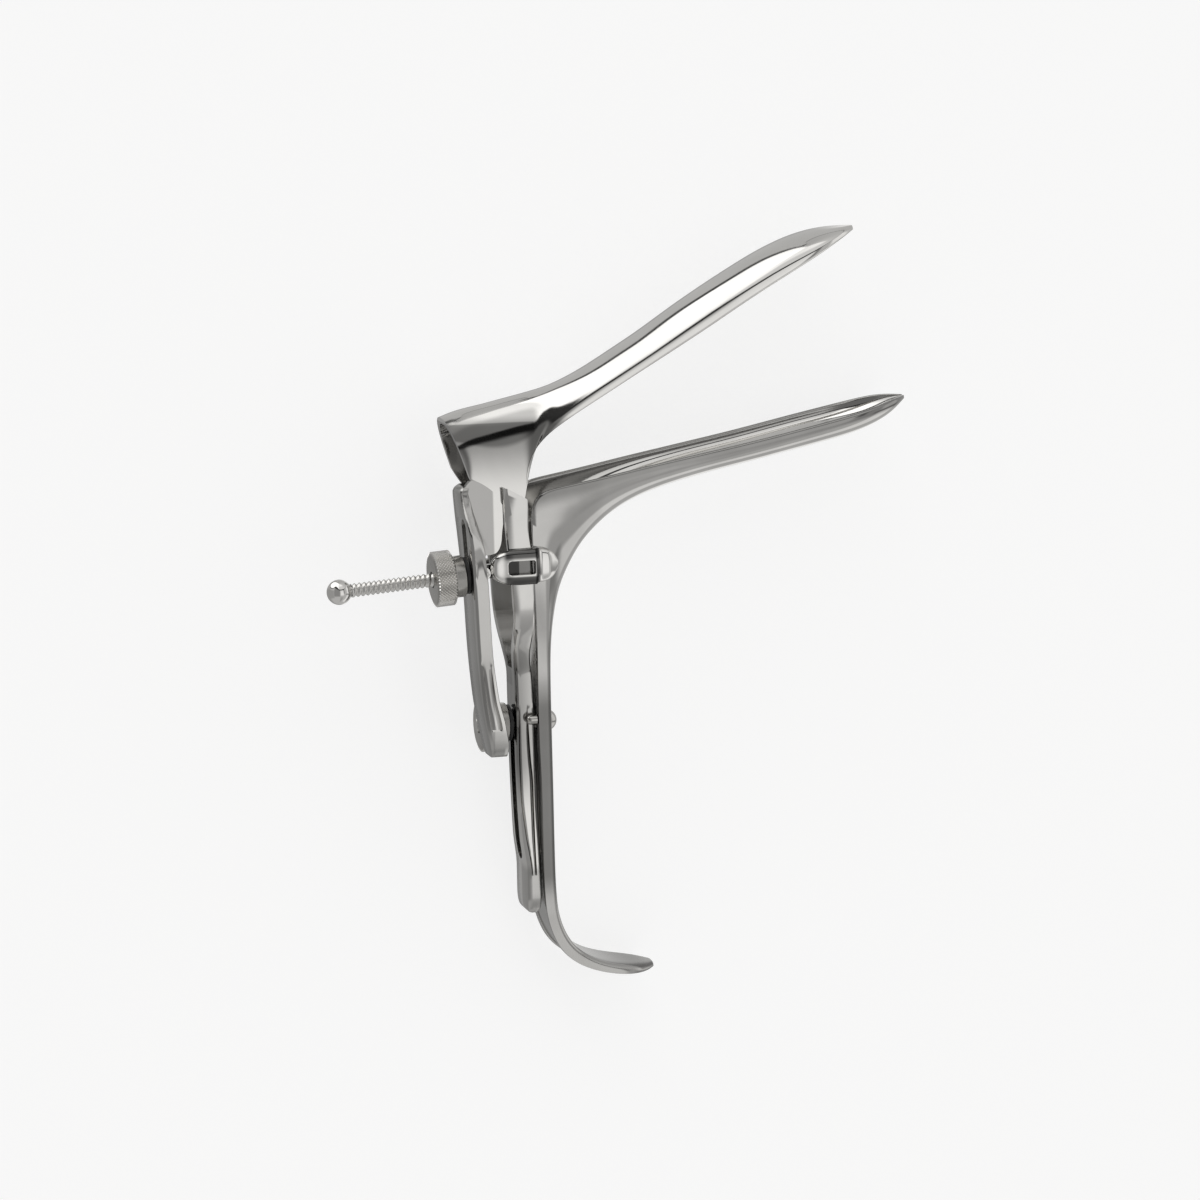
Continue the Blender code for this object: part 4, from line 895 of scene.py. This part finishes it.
def make_keeper(side, material):
    """A strap with a window: its leg stands on the blade's flange and its roof passes over the upright."""
    face = UPRIGHT_OUTER + FIT_GAP
    top = face + KEEPER_WALL
    foot = UPRIGHT_INNER
    half = KEEPER_HALF_HEIGHT
    leg = FRONT_X(-5.0) + RUN_GAP + 0.15
    rise = KEEPER_RISE
    end = leg + KEEPER_REACH
    highs = steady([(KEEPER_LEFT_X, face + 0.5), (-17.2, top - 0.5), (-16.2, top - 0.1),
                    (-14.0, top + 0.2 * rise), (-10.8, top + 0.8 * rise), (-7.8, top + rise),
                    (leg - 0.2, top + 0.9 * rise), (leg + 0.5, top + 0.2), (leg + 1.1, face + 0.5),
                    (leg + 1.9, face + 0.1), (leg + 3.4, face + 0.1), (leg + 5.0, face - 0.4),
                    (leg + 6.2, foot + 1.1), (end, foot + 0.5)])
    halves = steady([(KEEPER_LEFT_X, 0.8), (-17.2, 2.0), (-16.2, 3.1), (-14.6, 4.0), (-12.0, 4.7),
                     (-9.0, half), (leg, half), (leg + 2.0, half - 0.2), (leg + 3.6, half - 0.6),
                     (leg + 5.2, half - 1.6), (leg + 6.2, half - 2.9), (end, half - 4.0)])
    places = {round(x, 3) for x in np.arange(KEEPER_LEFT_X, end, 0.35)}
    rings = []
    for x in sorted(places | {round(leg, 3), round(leg + 0.05, 3), end}):
        low = face if x <= leg else foot
        low += max(0.0, 0.5 - (x - KEEPER_LEFT_X)) * 0.4
        rings.append([(px, py, side * pz) for px, py, pz in keeper_ring(x, low, highs(x), halves(x))])
    node_name = "keeper_near" if side > 0 else "keeper_far"
    item = loft(rings, node_name + "_polished")
    right = leg - 0.55
    left = right - KEEPER_WINDOW_LENGTH
    low, high = KEEPER_Y - KEEPER_WINDOW_HEIGHT / 2, KEEPER_Y + KEEPER_WINDOW_HEIGHT / 2
    corner, cut, inset = KEEPER_WINDOW_CORNERS
    window = [(left + corner, low), (right - cut, low), (right, low + cut), (right, high - cut),
              (right - cut, high), (left + corner, high), (left + inset, high - inset),
              (left, high - corner), (left, low + corner), (left + inset, low + inset)]
    combine(item, prism(window, side * (face - 1.0), side * (top + rise + 1.0), "window"), "DIFFERENCE")
    break_edges(item, 0.2, 3, 45.0)
    fit(item, material, "lower", "polished_steel", node_name)


# Pins, studs, screws and nuts

def dome(radius, height, steps=12):
    """(height, radius) pairs of a shallow dome, from its foot to its top."""
    sphere = (radius * radius + height * height) / (2 * height)
    reach = math.asin(min(1.0, radius / sphere))
    if height > radius:
        reach = math.pi - reach
    pairs = []
    for k in range(steps + 1):
        a = reach * (1 - k / (steps + 0.2))
        pairs.append((sphere * math.cos(a) - (sphere - height), sphere * math.sin(a)))
    return pairs


def make_hinge_pins(material):
    inside = FLANGE_HALF_WIDTH - BLADE_WALL - 0.35 - FIT_GAP
    end = UPRIGHT_INNER + HINGE_BLIND
    head, thick = HINGE_HEAD_RADIUS, HINGE_HEAD_HEIGHT
    profile = [(-thick, head - 0.8), (-thick + 0.1, head - 0.5), (-thick + 0.3, head - 0.15), (-0.3, head),
               (0.0, head), (SHOULDER, HINGE_PIN_RADIUS), (end - inside, HINGE_PIN_RADIUS)]
    for side, name in ((1, "hinge_pin_near"), (-1, "hinge_pin_far")):
        item = turned(profile, name + "_turned", (0, 0, side), (HINGE_X, HINGE_Y, side * inside), 48)
        fit(item, material, "frame", "satin_steel", name)


def make_pivot_pin(material):
    start = LUG_INNER - FIT_GAP
    length = ROD_Z + ROD_EYE_WIDTH / 2 + FIT_GAP - start
    head, thick = PIVOT_HEAD_RADIUS, PIVOT_HEAD_HEIGHT
    profile = [(-thick, head - 0.4), (-thick + 0.25, head), (0.0, head), (SHOULDER, PIVOT_PIN_RADIUS),
               (length, PIVOT_PIN_RADIUS), (length + SHOULDER, head), (length + thick - 0.3, head - 0.05),
               (length + thick - 0.1, head - 0.3), (length + thick, head - 0.7)]
    item = turned(profile, "rod_pivot_turned", (0, 0, 1), (ROD_PIVOT_X, ROD_PIVOT_Y, start), 48)
    fit(item, material, "frame", "satin_steel", "rod_pivot_pin")


def thread_radius(x, share, fade):
    """The thread's radius at x along the rod and at a share of a turn round it."""
    phase = (x / THREAD_PITCH + share) % 1.0
    ridge = (1 - abs(2 * phase - 1)) * THREAD_CREST - THREAD_ROOT
    return ROD_RADIUS - THREAD_DEPTH * (1 - min(1.0, max(0.0, ridge))) * fade


def make_rod(material):
    """The threaded rod: a helical thread on a round shaft, with a flat eye at its front end."""
    neck = ROD_EYE_RADIUS + 0.6
    sides, per_turn = 40, 10
    turn = Vector((1, 0, 0)).rotation_difference(Vector(ROD_WAY))

    def ring(x, radii):
        angles = [2 * math.pi * k / sides for k in range(sides)]
        return [Vector(PIVOT_SPOT) + turn @ Vector((x, radius * math.cos(a), radius * math.sin(a)))
                for a, radius in zip(angles, radii)]

    rings = [ring(neck - 1.4, [ROD_RADIUS * 0.8] * sides)]
    step = THREAD_PITCH / per_turn
    for i in range(int((ROD_SHAFT_END - neck) / step) + 1):
        x = neck + i * step
        fade = min(1.0, x - neck, (ROD_SHAFT_END - x) / 0.6 + 0.05)
        rings.append(ring(x, [thread_radius(x, k / sides, fade) for k in range(sides)]))
    for x, radius in ((0.0, ROD_RADIUS - THREAD_DEPTH), (SHOULDER, ROD_SPIGOT_RADIUS),
                      (ROD_SPIGOT_LENGTH, ROD_SPIGOT_RADIUS)):
        rings.append(ring(ROD_SHAFT_END + x, [radius] * sides))
    item = loft(rings, "threaded_rod_cut", angle=40.0)
    half = ROD_EYE_WIDTH / 2
    eye = turned([(-half, ROD_EYE_RADIUS), (half, ROD_EYE_RADIUS)], "eye", (0, 0, 1), PIVOT_SPOT, 48)
    combine(item, eye, "UNION")
    reach = half + 2.0
    left, right = ROD_PIVOT_X - neck - 0.6, ROD_PIVOT_X + 4.0
    for side in (1, -1):
        flat = prism([(left, -4.0), (right, -4.0), (right, 4.0), (left, 4.0)], ROD_Z + side * half,
                     ROD_Z + side * reach, "flat")
        combine(item, flat, "DIFFERENCE")
    drill(item, PIVOT_PIN_RADIUS + 0.25, -reach, reach, (0, 0, 1), PIVOT_SPOT, 32)
    shade(item.data, 40.0)
    fit(item, material, "rod", "satin_steel", "threaded_rod")


def make_ball(material):
    bore = ROD_SPIGOT_RADIUS + FIT_GAP
    start = ROD_SHAFT_END + FIT_GAP
    floor = start + ROD_SPIGOT_LENGTH + FIT_GAP
    steps = 48
    profile = [(floor, 0.02), (floor, bore), (start, bore)]
    for k in range(1, steps + 1):
        a = math.pi * k / (steps + 0.1)
        x = ROD_LENGTH - BALL_SKIN * math.cos(a)
        if x > start + 0.02:
            profile.append((x, BALL_SKIN * math.sin(a)))
    item = turned(profile, "rod_ball_polished", ROD_WAY, PIVOT_SPOT, 72, angle=40.0)
    fit(item, material, "rod", "polished_steel", "rod_ball")


def nut_profile(start, collar, knurl):
    """Collar, fillet and knurled head, from the face that bears to the far face."""
    shoulder = start + collar
    root = NUT_RADIUS - KNURL_HEIGHT
    end = shoulder + knurl
    radius = NUT_COLLAR_RADIUS
    return [(start, radius - 0.3), (start + 0.1, radius - 0.1), (start + 0.3, radius),
            (shoulder - 0.35, radius), (shoulder - 0.1, radius + 0.1), (shoulder, radius + 0.35),
            (shoulder + SHOULDER, root - 0.75), (shoulder + 0.1, root - 0.5), (shoulder + 0.45, root),
            (end - 0.45, root), (end - 0.1, root - 0.5), (end - 0.02, root - 0.7), (end, root - 0.9)]


def knurl_tree():
    """A node tree that sets staggered pyramids round a cylinder about the X axis."""
    tree, start, end = group(
        "diamond knurl",
        [("Teeth", "NodeSocketInt", KNURL_TEETH), ("Rows", "NodeSocketInt", KNURL_ROWS),
         ("Radius", "NodeSocketFloat", 0.007), ("Length", "NodeSocketFloat", 0.004),
         ("Height", "NodeSocketFloat", 0.0004), ("Steel", "NodeSocketMaterial", None)],
        [("Geometry", "NodeSocketGeometry")], "GeometryNodeTree")
    given = start.outputs

    def sum_of(operation, *values):
        return math_node(tree, operation, *values)

    index = node(tree, "GeometryNodeInputIndex").outputs[0]
    row = sum_of("FLOOR", sum_of("DIVIDE", index, given["Teeth"]))
    column = sum_of("MODULO", index, given["Teeth"])
    stagger = sum_of("MULTIPLY", sum_of("MODULO", row, 2.0), 0.5)
    pitch = sum_of("DIVIDE", 2 * math.pi, given["Teeth"])
    angle = sum_of("MULTIPLY", sum_of("ADD", column, stagger), pitch)
    step = sum_of("DIVIDE", given["Length"], sum_of("SUBTRACT", given["Rows"], 1.0))
    arc = sum_of("MULTIPLY", pitch, given["Radius"])
    place = node(tree, "ShaderNodeCombineXYZ", {
        0: sum_of("MULTIPLY", row, step),
        1: sum_of("MULTIPLY", sum_of("SINE", angle), sum_of("MULTIPLY", given["Radius"], -1.0)),
        2: sum_of("MULTIPLY", sum_of("COSINE", angle), given["Radius"])})
    size = node(tree, "ShaderNodeCombineXYZ", {
        0: sum_of("MULTIPLY", step, KNURL_SPREAD), 1: sum_of("MULTIPLY", arc, KNURL_SPREAD / 2),
        2: given["Height"]})
    turn = node(tree, "ShaderNodeCombineXYZ", {0: angle})
    total = sum_of("MULTIPLY", given["Teeth"], given["Rows"])
    points = node(tree, "GeometryNodeMeshLine", {"Count": total})
    move = node(tree, "GeometryNodeSetPosition", {
        "Geometry": points.outputs[0], "Position": place.outputs[0]})
    tooth = node(tree, "GeometryNodeMeshCone", {
        "Vertices": 4, "Radius Top": 0.3, "Radius Bottom": 1.0, "Depth": 1.0}, fill_type="NGON")
    spread = node(tree, "GeometryNodeInstanceOnPoints", {
        "Points": move.outputs[0], "Instance": tooth.outputs[0], "Rotation": turn.outputs[0],
        "Scale": size.outputs[0]})
    real = node(tree, "GeometryNodeRealizeInstances", {0: spread.outputs[0]})
    paint = node(tree, "GeometryNodeSetMaterial", {
        "Geometry": real.outputs[0], "Material": given["Steel"]})
    feed(tree, end.inputs[0], paint.outputs[0])
    return tree


def make_knurl(name, tree, direction, place, start, length, material):
    """Knurl teeth for one nut, set about the nut's own line."""
    host = add(bpy.data.meshes.new(name), name)
    modifier = host.modifiers.new("knurl", "NODES")
    modifier.node_group = tree
    sizes = {"Teeth": KNURL_TEETH, "Rows": KNURL_ROWS, "Length": length * MM, "Steel": material,
             "Radius": (NUT_RADIUS - KNURL_HEIGHT - KNURL_SINK) * MM,
             "Height": (KNURL_HEIGHT + KNURL_SINK) * MM}
    for socket in tree.interface.items_tree:
        if socket.name in sizes:
            modifier[socket.identifier] = sizes[socket.name]
    settle(host)
    turn = Vector((1, 0, 0)).rotation_difference(Vector(direction)).to_matrix().to_4x4()
    foot = Vector(place) * MM + turn @ Vector((start * MM, 0.0, 0.0))
    host.data.transform(LAY @ Matrix.Translation(foot) @ turn)
    return host


def make_nut(name, collar, knurl, start, direction, place, bore, finishes):
    """A turned nut and its knurl, from the face that bears."""
    # The teeth take the lighter steel, a painted highlight, and the body the darker, painted shade in the
    # knurl's grooves
    tree, knurled, plain = finishes
    body = turned(nut_profile(start, collar, knurl), name + "_turned", direction, place, 96, bore)
    fit(body, plain, name, "knurled_steel", name)
    teeth = make_knurl(name + "_knurl", tree, direction, place, start + collar + KNURL_MARGIN,
                       knurl - 2 * KNURL_MARGIN, knurled)
    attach(teeth, name)


def make_washer(name, body, start, direction, place, bore, dark):
    profile = [(start, WASHER_RADIUS), (start + WASHER_THICK, WASHER_RADIUS)]
    item = turned(profile, name + "_black", direction, place, 96, bore)
    fit(item, dark, body, "dark_washer", name)


def make_thumb_screw(finishes, dark):
    """The washer and the nut on the rod, behind the lever's rear face."""
    start = ROD_PIVOT_X - LEVER_REAR(0.0) + FIT_GAP
    bore = ROD_RADIUS + FIT_GAP
    make_washer("nut_washer", "nut_carrier", start, ROD_WAY, PIVOT_SPOT, bore, dark)
    make_nut("thumb_nut", NUT_COLLAR_LENGTH, NUT_KNURL_LENGTH, start + WASHER_THICK + FIT_GAP, ROD_WAY,
             PIVOT_SPOT, bore, finishes)


def make_clamp(finishes, dark):
    """The washer and the nut behind the frame's handle; gives how far back the screw reaches."""
    way = (-1, 0, 0)
    start = CLAMP_GAP - REAR_X(SCREW_Y)
    bore = SCREW_RADIUS + FIT_GAP
    make_washer("clamp_washer", "clamp_carrier", start, way, SCREW_SPOT, bore, dark)
    start += WASHER_THICK + FIT_GAP
    make_nut("clamp_nut", CLAMP_COLLAR_LENGTH, CLAMP_KNURL_LENGTH, start, way, SCREW_SPOT, bore, finishes)
    return start + CLAMP_COLLAR_LENGTH + CLAMP_KNURL_LENGTH + SCREW_TAIL


def make_handle_screw(reach, material):
    front = HANDLE_FRONT_X + FIT_GAP
    profile = [(-reach, SCREW_RADIUS - 0.3), (-reach + 0.3, SCREW_RADIUS), (front - SHOULDER, SCREW_RADIUS),
               (front, SCREW_HEAD_RADIUS)]
    profile += [(front + h, r) for h, r in dome(SCREW_HEAD_RADIUS, SCREW_HEAD_HEIGHT, 16)][1:]
    item = turned(profile, "handle_screw_domed", (1, 0, 0), SCREW_SPOT, 64)
    fit(item, material, "lower", "polished_steel", "handle_screw")


def make_studs(material):
    face = HANDLE_FRONT_X - HANDLE_THICK - 0.1 - FIT_GAP
    profile = [(0.0, STUD_RADIUS)]
    profile += [(STUD_HEIGHT - STUD_RADIUS + h, r) for h, r in dome(STUD_RADIUS, STUD_RADIUS)]
    for side, name in ((1, "guide_stud_near"), (-1, "guide_stud_far")):
        z = side * (GRIP_HALF_WIDTH + FIT_GAP + STUD_RADIUS)
        item = turned(profile, name + "_domed", (-1, 0, 0), (face, STUD_Y, z), 32)
        fit(item, material, "lower", "polished_steel", name)


# Polish and tone of the steel: the waves of hand polishing, and patches of painted reflection, darker where
# the steel would mirror darker surroundings

FAR = 400.0
# Where the painted shade towards the rim starts, as (x, height from the rim), where it is full, and its
# tone
RIM_SHADE_STARTS = ((8.0, -5.0), (36.0, -1.7))
RIM_SHADE_END = -0.7
RIM_SHADE = 0.5
ALONG_HANDLE = ((0.16, 0.018, 0.16), 0.10)
ALONG_BLADES = ((0.02, 0.10, 0.10), 0.05)
LOWER_RIM = ((-20.0, 15.0), (-0.9, 20.1), (4.5, 21.0), (15.7, 22.8), (27.9, 25.0), (42.6, 27.5),
             (58.8, 30.3), (74.8, 33.4), (85.9, 35.6), (93.5, 37.2), (99.2, 38.6), (105.1, 39.8))
# Painted reflections on the lower blade, its handle and hook; a roughness given is the steel's own, rougher
# finish
LOWER_PATCHES = (
    ((12.0, -20.0, 3.0), (FAR, FAR, FAR), (6.0, 1.0), 0.80, None),
    ((-16.0, -36.0, 4.0), (13.0, 24.0, FAR), (8.0, 8.0), 0.66, None),
    ((-20.0, -92.0, -FAR), (4.0, -34.0, FAR), (12.0, 12.0), 0.27, 0.18),
    ((-20.0, -130.0, -FAR), (FAR, -92.0, FAR), (1.0, 14.0), 0.62, 0.18),
    ((6.0, -115.5, -7.9), (FAR, -90.0, 7.9), (0.6, 0.6), 0.45, 0.25),
)
# Painted reflections on the upper blade's rear end, over the hinge
UPPER_PATCHES = (
    ((-40.0, 14.0, -9.5), (-3.0, 39.5, 9.5), (0.4, 0.4), 0.5, None),
    ((-40.0, 28.0, 2.0), (12.0, 40.0, FAR), (16.0, 3.0), 0.42, None),
)
# Painted reflections and shade on the frame's arms, uprights and handle
FRAME_PATCHES = (
    ((-20.0, -15.0, -11.6), (0.0, 23.0, 11.6), (0.3, 0.3), 0.72, 0.34),
    ((-20.0, -34.0, 8.0), (0.0, 23.0, FAR), (6.0, 0.3), 0.88, None),
    ((-20.0, -34.0, -FAR), (0.0, 23.0, 2.0), (0.3, 0.3), 0.72, 0.34),
    ((-20.0, KEEPER_Y - 3.0, 13.0), (-3.0, KEEPER_Y + 3.0, FAR), (0.3, 0.3), 0.30, None),
    ((-20.0, KEEPER_Y - 3.0, 13.0), (-9.3, KEEPER_Y + 3.0, FAR), (0.3, 0.3), 0.25, None),
    ((-20.0, -62.0, -FAR), (-5.2, -24.0, FAR), (16.0, 12.0), 0.32, 0.14),
    ((-20.0, -FAR, 0.0), (0.0, -84.6, FAR), (0.5, 3.0), 0.72, 0.2),
)
# Painted reflections on the thumb lever: its near side, its lower part and its rear face
LEVER_PATCHES = (
    ((-30.0, -60.0, 19.6), (-19.0, 26.0, FAR), (0.5, 0.5), 0.70, None),
    ((-30.0, -FAR, -FAR), (-19.0, -26.0, FAR), (1.0, 12.0), 0.80, 0.12),
    ((-30.0, -60.0, 6.0), (-16.0, 30.0, 19.6), (0.6, 0.6), 0.60, 0.22),
)
# Painted dark reflections on each keeper, along its top and bottom over the upright and where it bends down
# to its leg
KEEPER_PATCHES = (
    ((-13.6, KEEPER_Y + 2.4, -FAR), (-4.0, FAR, FAR), (1.2, 0.6), 0.16, None),
    ((-13.6, -FAR, -FAR), (-4.0, KEEPER_Y - 2.4, FAR), (1.2, 0.6), 0.16, None),
    ((-5.2, -FAR, -FAR), (-3.6, FAR, FAR), (0.5, 0.4), 0.18, None),
)


# Floor, light and camera

FLOOR_TONE = 0.35
FLOOR_GLOW = 0.765
FLOOR_HALF_SIZE = 1.6


def make_floor():
    """A pale table, lit a little from within; the steel mirrors the studio through it."""
    material = bpy.data.materials.new("pale_table")
    material.use_nodes = True
    tree = material.node_tree
    shader = tree.nodes["Principled BSDF"]
    for key, value in (("Base Color", (FLOOR_TONE, FLOOR_TONE, FLOOR_TONE, 1.0)),
                       ("Emission Color", (1.0, 1.0, 1.0, 1.0)), ("Emission Strength", FLOOR_GLOW),
                       ("Roughness", 0.9), ("Specular IOR Level", 0.1)):
        feed(tree, shader.inputs[key], value)
    mix = node(tree, "ShaderNodeMixShader", {
        0: node(tree, "ShaderNodeLightPath").outputs["Is Camera Ray"],
        1: node(tree, "ShaderNodeBsdfTransparent").outputs[0], 2: shader.outputs[0]})
    feed(tree, tree.nodes["Material Output"].inputs["Surface"], mix.outputs[0])
    mesh = bpy.data.meshes.new("table")
    half = FLOOR_HALF_SIZE
    mesh.from_pydata([(-half, -half, 0), (half, -half, 0), (half, half, 0), (-half, half, 0)], [],
                     [(0, 1, 2, 3)])
    mesh.materials.append(material)
    add(mesh, "table")


# Bearings are counted from straight above the instrument's near side towards its tips, and heights
# towards its upper blade, both in degrees

# The panel's lower edge and the depth of the dark gap below it, at each bearing
PANEL_EDGE = ((-180, 75), (-171, 74), (-166, 34), (-150, 28), (-85, 38), (-66, 58), (-40, 54), (-25, 46),
              (-15, 37), (-5, 34), (30, 33), (60, 35), (150, 45), (180, 75))
GAP_DEPTH = ((-180, 4), (-90, 6), (-66, 15), (-40, 16), (-25, 13), (-15, 10), (-5, 9), (30, 8), (50, 2),
             (180, 1))
# Light at each height in front of the near side, and of the panel at each bearing
NEAR_LIGHT = ((-90, 0.36), (-45, 0.38), (-26, 0.54), (-10, 0.88), (2, 0.86), (16, 0.80), (28, 0.74),
              (90, 0.70))
PANEL_LIGHT = ((-180, 0.45), (-170, 0.45), (-164, 1.3), (-25, 1.3), (-10, 0.72), (30, 0.72), (60, 0.62),
               (180, 0.45))
GAP_LIGHT = 0.03
WALL_LIGHT = 0.5
GAP_SOFTNESS = 2.0
PANEL_SOFTNESS = (-1.0, 1.5)
LIGHT_COLOUR = (1.0, 0.995, 0.985, 1.0)
# Cards on the walls: bearing from and to, height from and to, softness, light
CARDS = ((-62, -3, -30, 70, 8, 0.27), (0, 31, -120, 120, 5, None), (30, 38, -6, 70, 3, 0.22),
         (62, 108, -70, 45, 6, 0.85), (52, 115, -19, -9, 3, 0.30), (-190, -132, -50, 8, 10, 0.34),
         (162, 190, -50, 8, 6, 0.34), (148, 162, -40, 22, 4, 1.0), (-140, -62, -40, 20, 8, 0.34))
# Cards in front of the panel
LINES = ((-172, -167, 8, 85, 1, 0.06), (-30, 60, 62, 90, 8, 1.05))


def card(tree, light, bearing, height, spec, near):
    """Paints a soft-edged card over the light from a direction; near lights a card that has no light."""
    left, right, low, high, soft, strength = spec
    mask = ranged(tree, bearing, left - soft, left + soft, 0.0, 1.0)
    for value, start, end in ((bearing, right + soft, right - soft), (height, low - soft, low + soft),
                              (height, high + soft, high - soft)):
        mask = math_node(tree, "MULTIPLY", mask, ranged(tree, value, start, end, 0.0, 1.0))
    return ranged(tree, mask, 0.0, 1.0, light, near if strength is None else strength, "LINEAR")


def make_world():
    """A studio in soft light: a wide panel above the upper blade, a dark gap below it, and pale walls."""
    world = bpy.data.worlds.new("studio")
    bpy.context.scene.world = world
    world.use_nodes = True
    tree = world.node_tree
    forward, upward, across = measured(tree, node(tree, "ShaderNodeTexCoord").outputs["Generated"])
    degree = 180.0 / math.pi
    bearing = math_node(tree, "MULTIPLY", math_node(tree, "ARCTAN2", forward, across), degree)
    height = math_node(tree, "MULTIPLY", math_node(tree, "ARCSINE", upward), degree)
    near = drawn(tree, height, -90.0, 90.0, NEAR_LIGHT)
    light = WALL_LIGHT
    for spec in CARDS:
        light = card(tree, light, bearing, height, spec, near)
    edge, depth, panel = (drawn(tree, bearing, -180.0, 180.0, keys)
                          for keys in (PANEL_EDGE, GAP_DEPTH, PANEL_LIGHT))
    above = math_node(tree, "SUBTRACT", height, edge)
    below = math_node(tree, "ADD", above, depth)
    light = ranged(tree, below, -GAP_SOFTNESS, GAP_SOFTNESS, light, GAP_LIGHT)
    light = ranged(tree, above, *PANEL_SOFTNESS, light, panel)
    for spec in LINES:
        light = card(tree, light, bearing, height, spec, near)
    sky = tree.nodes["Background"].inputs
    feed(tree, sky["Strength"], light)
    feed(tree, sky["Color"], LIGHT_COLOUR)


CAMERA_PLACE = (-324.67, 214.14, 1265.34)
CAMERA_AZIMUTH = 15.1
CAMERA_HEIGHT = 9.8
CAMERA_ROLL = 1.3
LENS = 145.08
SENSOR_WIDTH = 36.0


def make_camera():
    azimuth, height, roll = (math.radians(a) for a in (CAMERA_AZIMUTH, CAMERA_HEIGHT, CAMERA_ROLL))
    back = Vector((-math.sin(azimuth) * math.cos(height), math.sin(height),
                   math.cos(azimuth) * math.cos(height)))
    right = Vector((math.cos(azimuth), 0.0, math.sin(azimuth)))
    up = back.cross(right)
    level = right * math.cos(roll) - up * math.sin(roll)
    upright = right * math.sin(roll) + up * math.cos(roll)
    turn = Matrix((TURN @ level, TURN @ upright, TURN @ back)).transposed().to_4x4()
    data = bpy.data.cameras.new("camera")
    data.lens = LENS
    data.sensor_width = SENSOR_WIDTH
    data.clip_start = 0.05
    data.clip_end = 20.0
    camera = bpy.data.objects.new("camera", data)
    bpy.context.scene.collection.objects.link(camera)
    camera.matrix_world = Matrix.Translation(spot(*CAMERA_PLACE)) @ turn
    bpy.context.scene.camera = camera


# A washer sits under each nut; its black is painted shade, standing for the dark ring seen between the
# nut's collar and the face it bears on
def painted_shadow_black():
    material = bpy.data.materials.new("washer_painted_shadow")
    material.use_nodes = True
    shader = material.node_tree.nodes["Principled BSDF"].inputs
    shader["Base Color"].default_value = (0.012, 0.012, 0.012, 1.0)
    shader["Roughness"].default_value = 0.45
    return material


def main():
    bpy.context.scene.view_settings.view_transform = "Standard"
    groups = (handling_group(), axes_group(), patch_group())
    bright, clean, worn = (0.86, 0.85, 0.83), (0.82, 0.81, 0.79), (0.76, 0.75, 0.73)
    polished = steel("polished_stainless", groups, clean, worn, 0.06, 0.11, 0.12)
    blades = steel("blade_stainless", groups, bright, worn, 0.06, 0.12, 0.12, ALONG_BLADES, LOWER_PATCHES,
                   LOWER_RIM)
    hood = steel("hood_stainless", groups, clean, worn, 0.06, 0.11, 0.12, None, UPPER_PATCHES)
    frames = steel("frame_stainless", groups, clean, worn, 0.08, 0.14, 0.2, ALONG_HANDLE, FRAME_PATCHES)
    levers = steel("lever_stainless", groups, clean, worn, 0.07, 0.12, 0.15, ALONG_HANDLE, LEVER_PATCHES)
    keepers = steel("keeper_stainless", groups, bright, worn, 0.06, 0.10, 0.1, None, KEEPER_PATCHES)
    satin = steel("satin_stainless", groups, (0.80, 0.79, 0.77), (0.70, 0.69, 0.67), 0.22, 0.30, 0.3)
    # nut_stainless is a darker copy of the steel, painted shade on the nuts' bodies and in the knurl's
    # grooves; knurled_stainless is a lighter one, a painted highlight on the teeth
    nuts = steel("nut_stainless", groups, (0.50, 0.49, 0.47), (0.42, 0.41, 0.39), 0.22, 0.32, 0.3)
    # dome_stainless is a darker copy of the polished steel: painted shade for the dark reflections on the
    # studs and the screw head
    domed = steel("dome_stainless", groups, (0.58, 0.57, 0.55), (0.50, 0.49, 0.47), 0.08, 0.14, 0.12)
    knurled = steel("knurled_stainless", groups, (0.90, 0.89, 0.87), (0.82, 0.81, 0.79), 0.14, 0.22, 0.3)
    dark = painted_shadow_black()
    make_lower_blade(blades)
    make_upper_blade(hood)
    make_frame(frames)
    make_lever(levers)
    make_keeper(1, keepers)
    make_keeper(-1, keepers)
    make_hinge_pins(satin)
    make_pivot_pin(satin)
    make_rod(satin)
    make_ball(polished)
    finishes = (knurl_tree(), knurled, nuts)
    make_thumb_screw(finishes, dark)
    reach = make_clamp(finishes, dark)
    make_handle_screw(reach, domed)
    make_studs(domed)
    make_floor()
    make_world()
    make_camera()


main()
